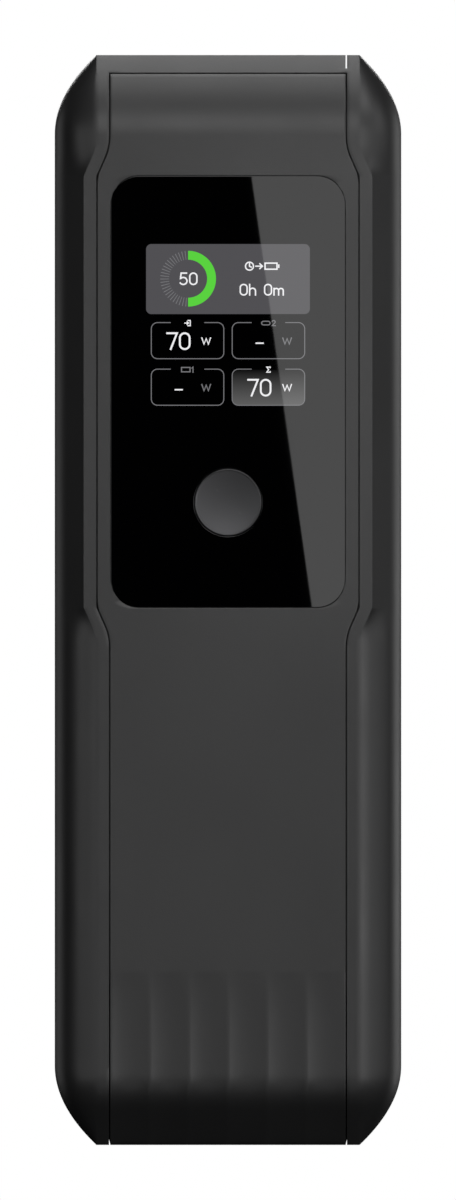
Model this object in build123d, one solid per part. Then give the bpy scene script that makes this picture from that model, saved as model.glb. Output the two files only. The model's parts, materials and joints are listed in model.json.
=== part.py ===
from build123d import *
import math
import os

# Pocket power bank with a display and one push button. Millimetres, +Z up, the display faces -Y, origin at
# the centre of the base. Casings first, then the display stack, the battery pack, the boards and the sockets.

# --- overall body ------------------------------------------------------------------------------
WIDTH = 49.5            # X
DEPTH = 54.6            # Y
HEIGHT = 155.7          # Z
END_RISE = 11.3         # height of each curved end
END_INSET = 5.95        # how far every side has leaned in at a flat end
CORNER_DEPTH = 9.3      # Y length of the rounding from a main face to the side
CORNER_LIFT = 0.15      # share of CORNER_DEPTH at which the plain rounding's control point lies
SHOULDER_LIFT = 0.3     # the same beside the display, where the rounding starts with a straight ramp
SHOULDER_SPLIT = 0.46   # where along the rounding the straight shoulder beside the display leaves it
SHOULDER_RISE = 5.7     # height of the blend between the rounding and the shoulder
SHOULDER_ANGLE = 24     # degrees off upright of the blend's straight part, which the display's end meets
SHOULDER_GAP = 0.3      # plain stretch between the upper blend and the curved end

# --- casing walls, seams and joints ------------------------------------------------------------
SIDE_WALL = 2.0
END_WALL = 2.2
PANEL_THICKNESS = 2.2
TAPE = 0.15             # every double-sided tape
PANEL_TAPE_WIDTH = 2.5
PANEL_TAPE_END = 1.0
LEDGE = 0.85            # casing wall behind a panel
CAVITY_CREASE_INSET = 0.9
STRIP = 2.0             # casing edge that shows beside a panel
TOP_BORDER = 2.7        # casing edge that shows above a panel
SEAM = 0.2              # gap round a panel
FLUTE_COUNT = 6
FLUTE_RISE = 25.0
FLUTE_DEPTH = 0.27
FLUTE_FADE = 4          # power of the height's share by which a flute runs out
FLUTE_STEPS = 9
SLOT_WIDTH = 0.22       # the seams run on over the ends as slots
BASE_SLOT_DEPTH = 1.0
TOP_SLOT_DEPTH = 1.9
LIP_THICKNESS = 0.9     # tongue on the front casing that enters the rear one
LIP_LENGTH = 1.2
FIT_GAP = 0.1           # general clearance between fixed pieces
RIB_WIDTH = 2.0
SNAP_LENGTH = 6.0
SNAP_HEIGHT = 0.35
SNAP_WIDTH = 0.5
CAP_RIM = 4.1           # casing edge round an end cap
CAP_THICKNESS = 1.2
CAP_FLANGE = 1.2        # how far a cap overlaps the wall that it rests on
CAP_CORNER = 3.0

# --- display stack -----------------------------------------------------------------------------
LENS_THICKNESS = 1.2
LENS_MARGIN = 1.9       # panel edge that shows beside the lens
LENS_CORNER = 4.0
LENS_GAP = 0.08
LCD_TOP_MARGIN = 8.1
LCD_HEIGHT = 29.2
LCD_SIDE_MARGIN = 3.65  # from the lens edge to the edge of the screen module
LCD_THICKNESS = 1.6
LCD_SET_BACK = 0.25     # behind the lens
BRACKET_RISE = 3.0      # bracket's foot above the module's foot
BRACKET_RIM = 2.0
TAPE_INSET = 0.4
BUTTON_DROP = 9.3       # from the screen module down to the button's axis
BUTTON_MARGIN = 15.0    # from the button's axis down to the lens edge
BUTTON_DIAMETER = 9.6
BUTTON_GAP = 0.1
BUTTON_FLANGE = 0.9
BUTTON_FLANGE_THICKNESS = 0.8
BUTTON_FLANGE_GAP = 0.2
BUTTON_DISH = 0.35      # depth of the finger dish
BUTTON_TRAVEL = 0.25
BUTTON_PROUD = 0.05
BUTTON_EDGE = 0.12
STEM_RADIUS = 1.5
SWITCH_SIZE = 5.2
SWITCH_HEIGHT = 1.5
SWITCH_WALL = 0.5
PLUNGER_RADIUS = 1.1
PLUNGER_PROUD = 0.4
SWITCH_COVER = 0.35
SWITCH_GAP = 0.06
DOME_RISE = 0.3
DOME_THICKNESS = 0.12
DOME_RADIUS = 1.7
BOARD_THICKNESS = 1.0
BOARD_EDGE = 1.9        # from a board's edge to a screw's axis
BOARD_CORNER = 2.0
DISPLAY_STANDOFF = 1.5
DISPLAY_BOARD_INSET = 2.5   # from the lens's ends
DISPLAY_BOARD_SIDE = 0.2    # in from the panel's side
WINDOW_GAP = 0.9
FLEX_THICKNESS = 0.2
FLEX_WIDTH = 10.0
FLEX_DROP = 2.3
FLEX_BEND = 0.5

# --- battery pack ------------------------------------------------------------------------------
PACK_SIDE_GAP = 3.75    # between the holders and the side walls
PACK_REAR_GAP = 3.1
PACK_FRONT_ROOM = 7.1   # boards and wires in front of the pack
PACK_FLOOR_GAP = 1.2
HOLDER_WALL = 0.45
CELL_GAP = 0.3
CELL_CLEARANCE = 0.05
HOLDER_RIM = 2.0        # how far a holder reaches over a cell's end
HOLDER_GRIP = 3.0       # length of a cell's end that a holder grips
HOLDER_WEB = 1.4        # holder beyond a cell's end
CELL_SPACING = 2.4      # between the two layers of cells
CELL_POLE = 0.3         # how far the positive pole stands proud
CELL_EDGE = 0.4
STRIP_METAL = 0.2
STRIP_METAL_WIDTH = 8.0
INSULATOR = 0.4
INSULATOR_INSET = 0.5
SEPARATOR_GAP = 0.4
FOAM_GAP = 0.5
FOAM_MARGIN = 6.0
FOAM_SQUEEZE_ROOM = 0.05
HOLDER_CORNER = 3.0
CELL_CRIMP = 0.5        # crimp groove near a cell's positive end
CELL_CRIMP_DROP = 3.6
CELL_CRIMP_HEIGHT = 1.0
CELL_POLE_RADIUS = 3.2

# --- boards and what is on them ----------------------------------------------------------------
PORT_BOARD_THICKNESS = 1.2
PORT_BOARD_BORDER = 0.6 # board in front of its connector
PORT_BOARD_SIDE = 1.5   # port board's edge in from the holders' side
PORT_ROOM = 12.3        # from the port board's top to the top face, less the set-back
SOCKET_SET_BACK = 0.2
STANDOFF = 1.0
POST_INSET = 3.2        # from the holders' side to the axis of a post
PORT_SCREW_GRIP = 3.0
MAIN_BOARD_BACK_GAP = 1.4
MAIN_BOARD_BOTTOM = 12.0
MAIN_BOARD_OVERHANG = 0.7 # past the panel's edge on each side
BOARD_TO_LENS = 2.8     # main board's top edge below the lens
INDUCTOR_SIZE = 10.0
INDUCTOR_HEIGHT = 3.8
INDUCTOR_CORNER = 1.2
CAPACITOR_RADIUS = 2.5
CAPACITOR_HEIGHT = 3.6
CAPACITOR_EDGE = 0.4
COMPONENT_GAP = 0.8
TRANSISTOR_SIZE = 5.0
CHIP_SIZE = 7.0
CHIP_HEIGHT = 1.0
SPREADER_THICKNESS = 0.5
SPREADER_GAP = 1.5
CONNECTOR_WIDTH = 14.0
CONNECTOR_HEIGHT = 2.0
CONNECTOR_LENGTH = 4.0
CONNECTOR_GRIP = 2.5    # how far the ribbon enters
LINK_DROP = 4.0         # main board's connector below the board's top
LINK_GAP = 0.4          # from a socket to the port board's connector
RIBBON_GAP = 0.05
RIBBON_THICKNESS = 0.3
RIBBON_WIDTH = 12.0
RIBBON_BEND = 1.5
WIRE_DIAMETER = 1.3
WIRE_BEND = 3.0
WIRE_X = 5.0
WIRE_GAP = 0.2
WIRE_REACH = 2.0        # wire along the top strip from its weld
WIRE_DROP = 8.0         # wire's end below the main board's top
SCREW_RADIUS = 0.8
SCREW_HEAD_RADIUS = 1.5
SCREW_HEAD = 1.0
SCREW_CLEARANCE = 0.05
SCREW_SOCKET = 0.55     # radius and depth of the recess in a screw's head
SCREW_TIP_ROOM = 0.8
BOSS_RADIUS = 2.0
MAIN_SCREW_GRIP = 3.4
HOUSING_SCREW_LENGTH = 12.0
HOUSING_SCREW_SEAT = 6.0
HOUSING_SCREW_INSET = 7.7   # below the top face
HOUSING_SCREW_X = 9.25      # in from the side

# --- sockets -----------------------------------------------------------------------------------
USB_C_WIDTH = 8.94
USB_C_HEIGHT = 3.26
USB_A_WIDTH = 13.14
USB_A_HEIGHT = 5.72
USB_A_CORNER = 0.6
SOCKET_WALL = 0.3
USB_C_BLOCK = 3.6       # solid plastic at the socket's foot
USB_A_BLOCK = 2.6
USB_C_TONGUE_WIDTH = 6.7
USB_C_TONGUE_THICKNESS = 0.7
USB_C_TONGUE_SET_BACK = 1.2
USB_A_TONGUE_WIDTH = 11.1
USB_A_TONGUE_THICKNESS = 1.84
USB_A_TONGUE_OFFSET = 1.1
USB_A_TONGUE_SET_BACK = 0.8
SOCKET_PITCH = 9.0
PORT_GAP = 0.12
BIG = 400.0             # larger than the whole object, for half-space cuts

# --- derived places ----------------------------------------------------------------------------
half_width = WIDTH / 2
half_depth = DEPTH / 2
crease = half_width - END_INSET
side_flat_y = half_depth - CORNER_DEPTH
cavity_half_width = half_width - SIDE_WALL
cavity_half_depth = half_depth - PANEL_THICKNESS - TAPE - LEDGE
cavity_crease = crease - CAVITY_CREASE_INSET
lens_top = HEIGHT - END_RISE - SHOULDER_GAP - SHOULDER_RISE
lens_bottom = lens_top - LCD_TOP_MARGIN - LCD_HEIGHT - BUTTON_DROP - BUTTON_MARGIN
lcd_top = lens_top - LCD_TOP_MARGIN
lcd_bottom = lcd_top - LCD_HEIGHT
button_z = lcd_bottom - BUTTON_DROP
panel_half = crease - STRIP
front_y = -half_depth
lens_back_y = front_y + LENS_THICKNESS
panel_back_y = front_y + PANEL_THICKNESS
ledge_back_y = -cavity_half_depth
lcd_front_y = lens_back_y + LCD_SET_BACK
flex_y = lcd_front_y + LCD_THICKNESS - 3 * FLEX_THICKNESS
board_front_y = ledge_back_y + DISPLAY_STANDOFF
board_back_y = board_front_y + BOARD_THICKNESS
port_board_top = HEIGHT - SOCKET_SET_BACK - PORT_ROOM
port_board_bottom = port_board_top - PORT_BOARD_THICKNESS
holder_top = port_board_bottom - STANDOFF
holder_bottom = END_WALL + PACK_FLOOR_GAP
cell_length = (holder_top - holder_bottom - 2 * HOLDER_WEB - 2 * STRIP_METAL - CELL_SPACING) / 2
holder_half = min(
    cavity_half_width - PACK_SIDE_GAP,
    (2 * cavity_half_depth - PACK_REAR_GAP - PACK_FRONT_ROOM) / 2,
)
cell_diameter = holder_half - HOLDER_WALL - CELL_GAP / 2
cell_pitch = cell_diameter + CELL_GAP
pack_y = cavity_half_depth - PACK_REAR_GAP - holder_half
pack_front_y = pack_y - holder_half
lower_cell_z = holder_bottom + HOLDER_WEB + STRIP_METAL
upper_cell_z = lower_cell_z + cell_length + CELL_SPACING
main_back_y = pack_front_y - MAIN_BOARD_BACK_GAP
main_front_y = main_back_y - BOARD_THICKNESS
main_board_top = lens_bottom - BOARD_TO_LENS
cap_half_x = crease - CAP_RIM
cap_half_y = half_depth - END_INSET - CAP_RIM
usb_c_centres = [(0, -SOCKET_PITCH), (0, 0)]
usb_a_centre = (0, SOCKET_PITCH)
usb_c_corner = USB_C_HEIGHT / 2 - 0.01
link_front_y = -SOCKET_PITCH - USB_C_HEIGHT / 2 - LINK_GAP - CONNECTOR_LENGTH
port_board_front_y = link_front_y - PORT_BOARD_BORDER
port_board_back_y = pack_y + holder_half - HOLDER_CORNER / 2
housing_screw_x = half_width - HOUSING_SCREW_X
housing_screw_z = HEIGHT - HOUSING_SCREW_INSET


# --- helpers -----------------------------------------------------------------------------------
def block(low, high):
    """A box between two corners."""
    size = [b - a for a, b in zip(low, high)]
    middle = [(a + b) / 2 for a, b in zip(low, high)]
    return Pos(*middle) * Box(*size)


def rod(start, radius, length, along):
    """A cylinder from a point, along "x", "y" or "z"; a negative length runs the other way."""
    turn = {"x": Rot(0, 90, 0), "y": Rot(-90, 0, 0), "z": Rot(0, 0, 0)}[along]
    shift = {"x": (length / 2, 0, 0), "y": (0, length / 2, 0), "z": (0, 0, length / 2)}[along]
    centre = [a + b for a, b in zip(start, shift)]
    return Pos(*centre) * turn * Cylinder(radius, abs(length))


def rounded_plate(half_x, half_y, low_z, high_z, corner, centre=(0, 0)):
    """An upright prism with a rounded rectangle for its outline."""
    sketch = Pos(centre[0], centre[1], low_z) * RectangleRounded(2 * half_x, 2 * half_y, corner)
    return extrude(sketch, amount=high_z - low_z, dir=(0, 0, 1))


def front_plate(half_x, low_z, high_z, low_y, high_y, corner):
    """A plate parallel to the display, with a rounded outline seen from the front."""
    place = Plane(origin=(0, high_y, (low_z + high_z) / 2), x_dir=(1, 0, 0), z_dir=(0, -1, 0))
    sketch = place * RectangleRounded(2 * half_x, high_z - low_z, corner)
    return extrude(sketch, amount=high_y - low_y, dir=(0, -1, 0))


def lean(z):
    """How far the sides have leaned in at height z: a parabola over each end."""
    into_end = max(END_RISE - z, z - (HEIGHT - END_RISE), 0.0)
    return END_INSET * (into_end / END_RISE) ** 2


def shoulder_arc():
    """Radius of the blend's arc, and how far it goes out and up before the straight part starts."""
    angle = math.radians(SHOULDER_ANGLE)
    spare = SHOULDER_RISE * math.tan(angle) - shoulder_width()
    radius = spare / (math.tan(angle) * math.sin(angle) - 1 + math.cos(angle))
    return radius, radius * (1 - math.cos(angle)), radius * math.sin(angle)


def widening(z):
    """0 where the body has its full rounding, 1 beside the display: an arc, then a straight line."""
    into_blend = max(lens_bottom - z, z - lens_top, 0.0)
    if into_blend >= SHOULDER_RISE:
        return 0.0
    radius, arc_out, arc_rise = shoulder_arc()
    left = SHOULDER_RISE - into_blend
    if left <= arc_rise:
        return (radius - math.sqrt(radius**2 - left**2)) / shoulder_width()
    return (arc_out + (left - arc_rise) * math.tan(math.radians(SHOULDER_ANGLE))) / shoulder_width()


def shoulder_width():
    """How much wider the front face is beside the display."""
    across = half_width - crease
    deep = SHOULDER_LIFT * CORNER_DEPTH
    t = SHOULDER_SPLIT
    slope = across * (1 - t) / (deep + t * (CORNER_DEPTH - 2 * deep))
    return across * t - deep * t * slope


def mix(a, b, share):
    """The point that lies a share of the way from a to b."""
    return tuple(p + (q - p) * share for p, q in zip(a, b))


def rounding(edge, end, front, lift):
    """Points of two quadratic curves that meet smoothly, from the front face to the side."""
    bend = (end[0], -front + lift * (front - side_flat_y))
    first = mix(edge, bend, SHOULDER_SPLIT)
    last = mix(bend, end, SHOULDER_SPLIT)
    return [edge, first, mix(first, last, SHOULDER_SPLIT), last, end]


def corner_points(z, half_x, half_y, crease_x, wide):
    """Front right rounding at height z; beside the display it starts further out, with a straight ramp."""
    side, front = half_x - lean(z), half_y - lean(z)
    edge, end = (crease_x, -front), (side, -side_flat_y)
    plain = rounding(edge, end, front, CORNER_LIFT)
    ramp = rounding(edge, end, front, SHOULDER_LIFT)
    ramp[0] = (crease_x + shoulder_width(), -front)
    ramp[1] = mix(ramp[0], ramp[2], 0.5)
    share = widening(z) if wide else 0.0
    return [mix(a, b, share) for a, b in zip(plain, ramp)]


def body_section(z, half_x, half_y, crease_x, wide):
    """The body's outline at height z as a face: front, roundings, sides and back."""
    front = corner_points(z, half_x, half_y, crease_x, wide)
    back = [(x, -y) for x, y in corner_points(z, half_x, half_y, crease_x, False)]
    right = [front[0:3], front[2:5], [front[4], back[4]], back[4:1:-1], back[2::-1]]
    left = [[(-x, y) for x, y in reversed(points)] for points in reversed(right)]
    runs = right + [[back[0], (-back[0][0], back[0][1])]] + left + [[(-front[0][0], front[0][1]), front[0]]]
    edges = []
    for points in runs:
        lifted = [(x, y, z) for x, y in points]
        edges.append(Edge.make_line(*lifted) if len(lifted) == 2 else Edge.make_bezier(*lifted))
    return Face(Wire(edges))


def body(half_x, half_y, crease_x, low_z, high_z, wide=False):
    """A solid with the body's curved ends between two heights, and the display's shoulders if wide."""
    levels = [low_z, END_RISE, HEIGHT - END_RISE, high_z]
    shape = "end", "straight", "end"
    if wide:
        levels[2:2] = [lens_bottom - SHOULDER_RISE, lens_bottom, lens_top, lens_top + SHOULDER_RISE]
        shape = "end", "straight", "blend", "straight", "blend", "straight", "end"
    solid = None
    for form, low, high in zip(shape, levels, levels[1:]):
        if form == "straight":
            piece = extrude(body_section(low, half_x, half_y, crease_x, wide), amount=high - low, dir=(0, 0, 1))
        else:
            steps = 5
            heights = [low + (high - low) * i / (steps - 1) for i in range(steps)]
            piece = loft([body_section(z, half_x, half_y, crease_x, wide) for z in heights])
        solid = piece if solid is None else solid + piece
    return solid


def face_curve(shift):
    """The front face's line from base to top in the YZ plane, moved back by shift."""
    y0, y1 = -half_depth + END_INSET + shift, -half_depth + shift
    return [
        Edge.make_bezier((0, y0, 0), (0, y1, END_RISE / 2), (0, y1, END_RISE)),
        Edge.make_line((0, y1, END_RISE), (0, y1, HEIGHT - END_RISE)),
        Edge.make_bezier((0, y1, HEIGHT - END_RISE), (0, y1, HEIGHT - END_RISE / 2), (0, y0, HEIGHT)),
    ]


def face_band(outer_shift, inner_shift):
    """Everything between two copies of the front face's line, across the whole width."""
    outer, inner = face_curve(outer_shift), face_curve(inner_shift)
    joins = [
        Edge.make_line(outer[0] @ 0, inner[0] @ 0),
        Edge.make_line(outer[2] @ 1, inner[2] @ 1),
    ]
    face = Face(Wire(outer + joins + inner))
    return extrude(face, amount=BIG, dir=(1, 0, 0), both=True)


def panel_outline(gap, wide, top):
    """The panel's outline seen from the front, grown by gap: a prism across the whole depth."""
    narrow = panel_half + gap
    broad = narrow + shoulder_width()
    low, high = -BIG if gap else 0.0, top + gap
    half = [((narrow, low), (narrow, high))]
    if wide:
        radius, arc_out, arc_rise = shoulder_arc()
        half_angle = math.radians(SHOULDER_ANGLE) / 2
        bulge, half_rise = radius * (1 - math.cos(half_angle)), radius * math.sin(half_angle)
        blend_low, blend_high = lens_bottom - SHOULDER_RISE, lens_top + SHOULDER_RISE
        below = (narrow + arc_out, blend_low + arc_rise)
        above = (narrow + arc_out, blend_high - arc_rise)
        half = [
            ((narrow, low), (narrow, blend_low)),
            ((narrow, blend_low), (narrow + bulge, blend_low + half_rise), below),
            (below, (broad, lens_bottom)),
            ((broad, lens_bottom), (broad, lens_top)),
            ((broad, lens_top), above),
            (above, (narrow + bulge, blend_high - half_rise), (narrow, blend_high)),
            ((narrow, blend_high), (narrow, high)),
        ]
    edges = []
    for sign in (1, -1):
        for run in half:
            points = [(sign * x, 0, z) for x, z in run]
            make = Edge.make_line if len(points) == 2 else Edge.make_three_point_arc
            edges.append(make(*points))
    edges.append(Edge.make_line((narrow, 0, high), (-narrow, 0, high)))
    edges.append(Edge.make_line((narrow, 0, low), (-narrow, 0, low)))
    return extrude(Face(Wire(edges)), amount=BIG, dir=(0, 1, 0), both=True)


def fluted_foot():
    """The panel's lower part: its face is scooped into flutes that run out upwards."""
    sections = []
    pitch = 2 * panel_half / FLUTE_COUNT
    for i in range(FLUTE_STEPS):
        z = FLUTE_RISE * i / (FLUTE_STEPS - 1)
        front = -half_depth + lean(z)
        depth = FLUTE_DEPTH * (1 - (z / FLUTE_RISE) ** FLUTE_FADE)
        edges = []
        for n in range(FLUTE_COUNT):
            x0 = -panel_half + n * pitch
            control = (x0 + pitch / 2, front + 2 * depth, z)
            edges.append(Edge.make_bezier((x0, front, z), control, (x0 + pitch, front, z)))
        edges.append(Edge.make_line((panel_half, front, z), (panel_half, 0, z)))
        edges.append(Edge.make_line((panel_half, 0, z), (-panel_half, 0, z)))
        edges.append(Edge.make_line((-panel_half, 0, z), (-panel_half, front, z)))
        sections.append(Face(Wire(edges)))
    return loft(sections) & face_band(-END_WALL, PANEL_THICKNESS)


def half_space(sign, axis="y", at=0.0):
    """Everything on one side of a plane: sign -1 keeps what is below it along the axis."""
    low = [-BIG, -BIG, -BIG]
    high = [BIG, BIG, BIG]
    index = "xyz".index(axis)
    if sign < 0:
        high[index] = at
    else:
        low[index] = at
    return block(low, high)


def turned(shape):
    """The shape turned half a turn about Z, from the front to the rear."""
    return Rot(0, 0, 180) * shape


# --- casings -----------------------------------------------------------------------------------
panel_top = HEIGHT - TOP_BORDER
snap_heights = [END_RISE + SNAP_LENGTH, HEIGHT / 2, HEIGHT - END_RISE - SNAP_LENGTH]
cell_centres = [(sx * cell_pitch / 2, pack_y + sy * cell_pitch / 2) for sy in (-1, 1) for sx in (-1, 1)]
holder_levels = [
    (holder_bottom, lower_cell_z + HOLDER_GRIP),
    (lower_cell_z + cell_length - HOLDER_GRIP, upper_cell_z + HOLDER_GRIP),
    (upper_cell_z + cell_length - HOLDER_GRIP, holder_top),
]
display_window = (
    panel_half + shoulder_width() - LENS_MARGIN - LCD_SIDE_MARGIN + WINDOW_GAP,
    button_z - BUTTON_DIAMETER / 2 - BUTTON_FLANGE - WINDOW_GAP,
    lcd_top + WINDOW_GAP,
)
display_screws_at = [
    (sx * (panel_half - DISPLAY_BOARD_SIDE - BOARD_EDGE), z)
    for z in (lens_bottom + DISPLAY_BOARD_INSET + BOARD_EDGE, lens_top - DISPLAY_BOARD_INSET - BOARD_EDGE)
    for sx in (-1, 1)
]
main_half = panel_half + MAIN_BOARD_OVERHANG
main_screws_at = [
    (sx * (main_half - BOARD_EDGE), z)
    for z in (MAIN_BOARD_BOTTOM + BOARD_EDGE, main_board_top - BOARD_EDGE)
    for sx in (-1, 1)
]


def cap_opening(low_z, high_z, inset, gap=0.0):
    """The opening for an end cap, inset from its outline."""
    return rounded_plate(cap_half_x - inset + gap, cap_half_y - inset + gap, low_z, high_z, CAP_CORNER)


def holder_ribs(sign):
    """Ribs on one casing half that locate the cell holders sideways; sign -1 is the front half."""
    ribs = None
    for low, high in holder_levels:
        middle = (low + high) / 2
        for side in (-1, 1):
            in_wall = cavity_half_width - lean(middle - RIB_WIDTH / 2) + SIDE_WALL / 2
            inner, outer = side * (holder_half + FIT_GAP), side * in_wall
            near, far = sign * (LIP_LENGTH + RIB_WIDTH / 2), sign * (side_flat_y / 2)
            low_corner = (min(inner, outer), min(near, far), middle - RIB_WIDTH / 2)
            high_corner = (max(inner, outer), max(near, far), middle + RIB_WIDTH / 2)
            rib = block(low_corner, high_corner)
            ribs = rib if ribs is None else ribs + rib
    return ribs


def cap_seats():
    """The stepped openings in which the two end caps sit."""
    base = cap_opening(-1, CAP_THICKNESS, 0, FIT_GAP) + cap_opening(-1, END_WALL + 1, CAP_FLANGE)
    top = cap_opening(HEIGHT - CAP_THICKNESS, HEIGHT + 1, 0, FIT_GAP)
    return base + top + cap_opening(HEIGHT - END_WALL - 1, HEIGHT + 1, CAP_FLANGE)


def seam_slots():
    """Where the panels' side seams run on over the two ends."""
    slot_x = panel_half + SEAM / 2
    near, far = slot_x - SLOT_WIDTH / 2, slot_x + SLOT_WIDTH / 2
    slots = block((near, -BIG, HEIGHT - TOP_SLOT_DEPTH), (far, BIG, HEIGHT + 1))
    for side in (-1, 1):
        ends = sorted((side * near, side * far))
        slots += block((ends[0], -BIG, -1), (ends[1], BIG, BASE_SLOT_DEPTH))
    return slots


def casing_shell():
    """The whole casing before it is parted: outer skin, cavity and end cap seats."""
    outer = body(half_width, half_depth, crease, 0, HEIGHT, wide=True)
    return outer - casing_cavity() - cap_seats()


def casing_cavity():
    """The space inside the casing."""
    return body(cavity_half_width, cavity_half_depth, cavity_crease, END_WALL, HEIGHT - END_WALL)


def lip(grow):
    """The tongue all round the parting line, grown by a clearance for the groove that takes it."""
    ring = body(
        cavity_half_width + LIP_THICKNESS + grow,
        cavity_half_depth + LIP_THICKNESS + grow,
        cavity_crease + LIP_THICKNESS + grow,
        END_WALL - LIP_THICKNESS - grow,
        HEIGHT - END_WALL + LIP_THICKNESS + grow,
    )
    ring &= block((-BIG, -FIT_GAP, -BIG), (BIG, LIP_LENGTH + grow, BIG))
    face = cavity_half_width + LIP_THICKNESS
    for z in snap_heights:
        for side in (-1, 1):
            ends = sorted((side * (face - SNAP_HEIGHT), side * (face + SNAP_HEIGHT + grow)))
            ring += block(
                (ends[0], LIP_LENGTH - SNAP_WIDTH - grow, z - SNAP_LENGTH / 2 - grow),
                (ends[1], LIP_LENGTH + grow, z + SNAP_LENGTH / 2 + grow),
            )
    return ring


def display_board_bosses():
    """Bosses on the front casing that carry the display board."""
    bosses = None
    for x, z in display_screws_at:
        boss = rod((x, ledge_back_y - LEDGE / 2, z), BOSS_RADIUS, DISPLAY_STANDOFF + LEDGE / 2, "y")
        bosses = boss if bosses is None else bosses + boss
    return bosses


def main_board_bosses():
    """Bosses on the front casing that carry the main board."""
    bosses = None
    for x, z in main_screws_at:
        boss = rod((x, ledge_back_y - LEDGE / 2, z), BOSS_RADIUS, main_front_y - ledge_back_y + LEDGE / 2, "y")
        bosses = boss if bosses is None else bosses + boss
    return bosses


def panel_pocket(wide):
    """The space cut out of a casing half for its panel and tape."""
    return face_band(-BIG, PANEL_THICKNESS + TAPE) & panel_outline(SEAM, wide, panel_top) & half_space(-1)


def make_front_housing():
    """Front casing half: skin, pocket for the panel, ledge with the display window, bosses, ribs and tongue."""
    half = casing_shell() & half_space(-1)
    window_half, window_low, window_high = display_window
    half -= block((-window_half, -BIG, window_low), (window_half, -cavity_half_depth + LEDGE, window_high))
    half += display_board_bosses()
    half += main_board_bosses()
    half += holder_ribs(-1)
    for side in (-1, 1):
        start = (side * housing_screw_x, ledge_back_y - LEDGE / 2, housing_screw_z)
        half += rod(start, BOSS_RADIUS, -start[1], "y")
    half -= panel_pocket(True)
    half += lip(0) - casing_cavity() - cap_seats()
    hole = SCREW_RADIUS + SCREW_CLEARANCE
    for x, z in display_screws_at:
        half -= rod((x, board_front_y, z), hole, -(DISPLAY_STANDOFF + LEDGE / 2), "y")
    for x, z in main_screws_at:
        half -= rod((x, main_front_y, z), hole, -(MAIN_SCREW_GRIP + SCREW_TIP_ROOM), "y")
    for side in (-1, 1):
        depth = HOUSING_SCREW_LENGTH - HOUSING_SCREW_SEAT + SCREW_TIP_ROOM
        half -= rod((side * housing_screw_x, 0, housing_screw_z), hole, -depth, "y")
    return half - seam_slots()


def make_rear_housing():
    """Rear casing half: skin, pocket for the rear panel, screw bosses, ribs and the groove for the tongue."""
    half = casing_shell() & half_space(1)
    half += holder_ribs(1)
    for side in (-1, 1):
        start = (side * housing_screw_x, 0, housing_screw_z)
        half += rod(start, BOSS_RADIUS, cavity_half_depth + LEDGE / 2, "y")
    half -= turned(panel_pocket(False))
    half -= lip(FIT_GAP)
    for side in (-1, 1):
        x = side * housing_screw_x
        half -= rod((x, -1, housing_screw_z), SCREW_RADIUS + 2 * SCREW_CLEARANCE, HOUSING_SCREW_SEAT + 2, "y")
        half -= rod((x, HOUSING_SCREW_SEAT, housing_screw_z), SCREW_HEAD_RADIUS + SCREW_CLEARANCE, BIG, "y")
    return half - seam_slots()


def make_panel(wide):
    """A face panel: fluted foot, curved ends, and flat between them."""
    plate = face_band(0, PANEL_THICKNESS) & panel_outline(0, wide, panel_top) & half_space(1, "z", FLUTE_RISE)
    return plate + fluted_foot()


def lens_half():
    """Half the lens's width: the broad part of the panel less its margin."""
    return panel_half + shoulder_width() - LENS_MARGIN


def make_front_panel():
    """Front panel: a pocket for the lens, a window for the screen and a hole for the button."""
    panel = make_panel(True)
    pocket = front_plate(
        lens_half() + LENS_GAP,
        lens_bottom - LENS_GAP,
        lens_top + LENS_GAP,
        front_y - 1,
        lens_back_y + TAPE,
        LENS_CORNER + LENS_GAP,
    )
    panel -= pocket
    half = lens_half() - LCD_SIDE_MARGIN + FIT_GAP
    panel -= block((-half, -BIG, lcd_bottom - FIT_GAP), (half, 0, lcd_top + FIT_GAP))
    half = FLEX_WIDTH / 2 + FIT_GAP
    low = lcd_bottom - FLEX_DROP - FLEX_THICKNESS - FIT_GAP
    panel -= block((-half, flex_y - FLEX_THICKNESS / 2 - FIT_GAP, low), (half, 0, lcd_bottom))
    hole = BUTTON_DIAMETER / 2 + BUTTON_FLANGE + 2 * BUTTON_GAP
    return panel - rod((0, front_y - 1, button_z), hole, PANEL_THICKNESS + 2, "y")


def make_panel_tape(wide):
    """Tape frame between a panel's flat part and the casing ledge."""
    low, high = END_RISE + PANEL_TAPE_END, HEIGHT - END_RISE - PANEL_TAPE_END
    sheet = block((-BIG, panel_back_y, low), (BIG, panel_back_y + TAPE, high))
    tape = panel_outline(0, wide, panel_top) & sheet
    inner_half = panel_half - PANEL_TAPE_WIDTH
    inner_high = display_window[1] - PANEL_TAPE_WIDTH if wide else high - PANEL_TAPE_WIDTH
    tape -= block((-inner_half, -BIG, low + PANEL_TAPE_WIDTH), (inner_half, 0, inner_high))
    if wide:
        window_half, window_low, window_high = display_window
        tape -= block((-window_half, -BIG, window_low), (window_half, 0, window_high))
    return tape


def make_end_cap(low_z):
    """A flat end cap, flush in the casing."""
    return rounded_plate(cap_half_x, cap_half_y, low_z, low_z + CAP_THICKNESS, CAP_CORNER)


def socket_outline(width, height, corner, centre, low_z, high_z, grow=0.0):
    """A socket's outer form, its width along X."""
    return rounded_plate(width / 2 + grow, height / 2 + grow, low_z, high_z, corner + grow, centre)


def make_port_cap():
    """Top cap with an opening for each socket."""
    cap = make_end_cap(HEIGHT - CAP_THICKNESS)
    low, high = HEIGHT - CAP_THICKNESS - 1, HEIGHT + 1
    for centre in usb_c_centres:
        cap -= socket_outline(USB_C_WIDTH, USB_C_HEIGHT, usb_c_corner, centre, low, high, PORT_GAP)
    cap -= socket_outline(USB_A_WIDTH, USB_A_HEIGHT, USB_A_CORNER, usb_a_centre, low, high, PORT_GAP)
    return cap


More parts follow.
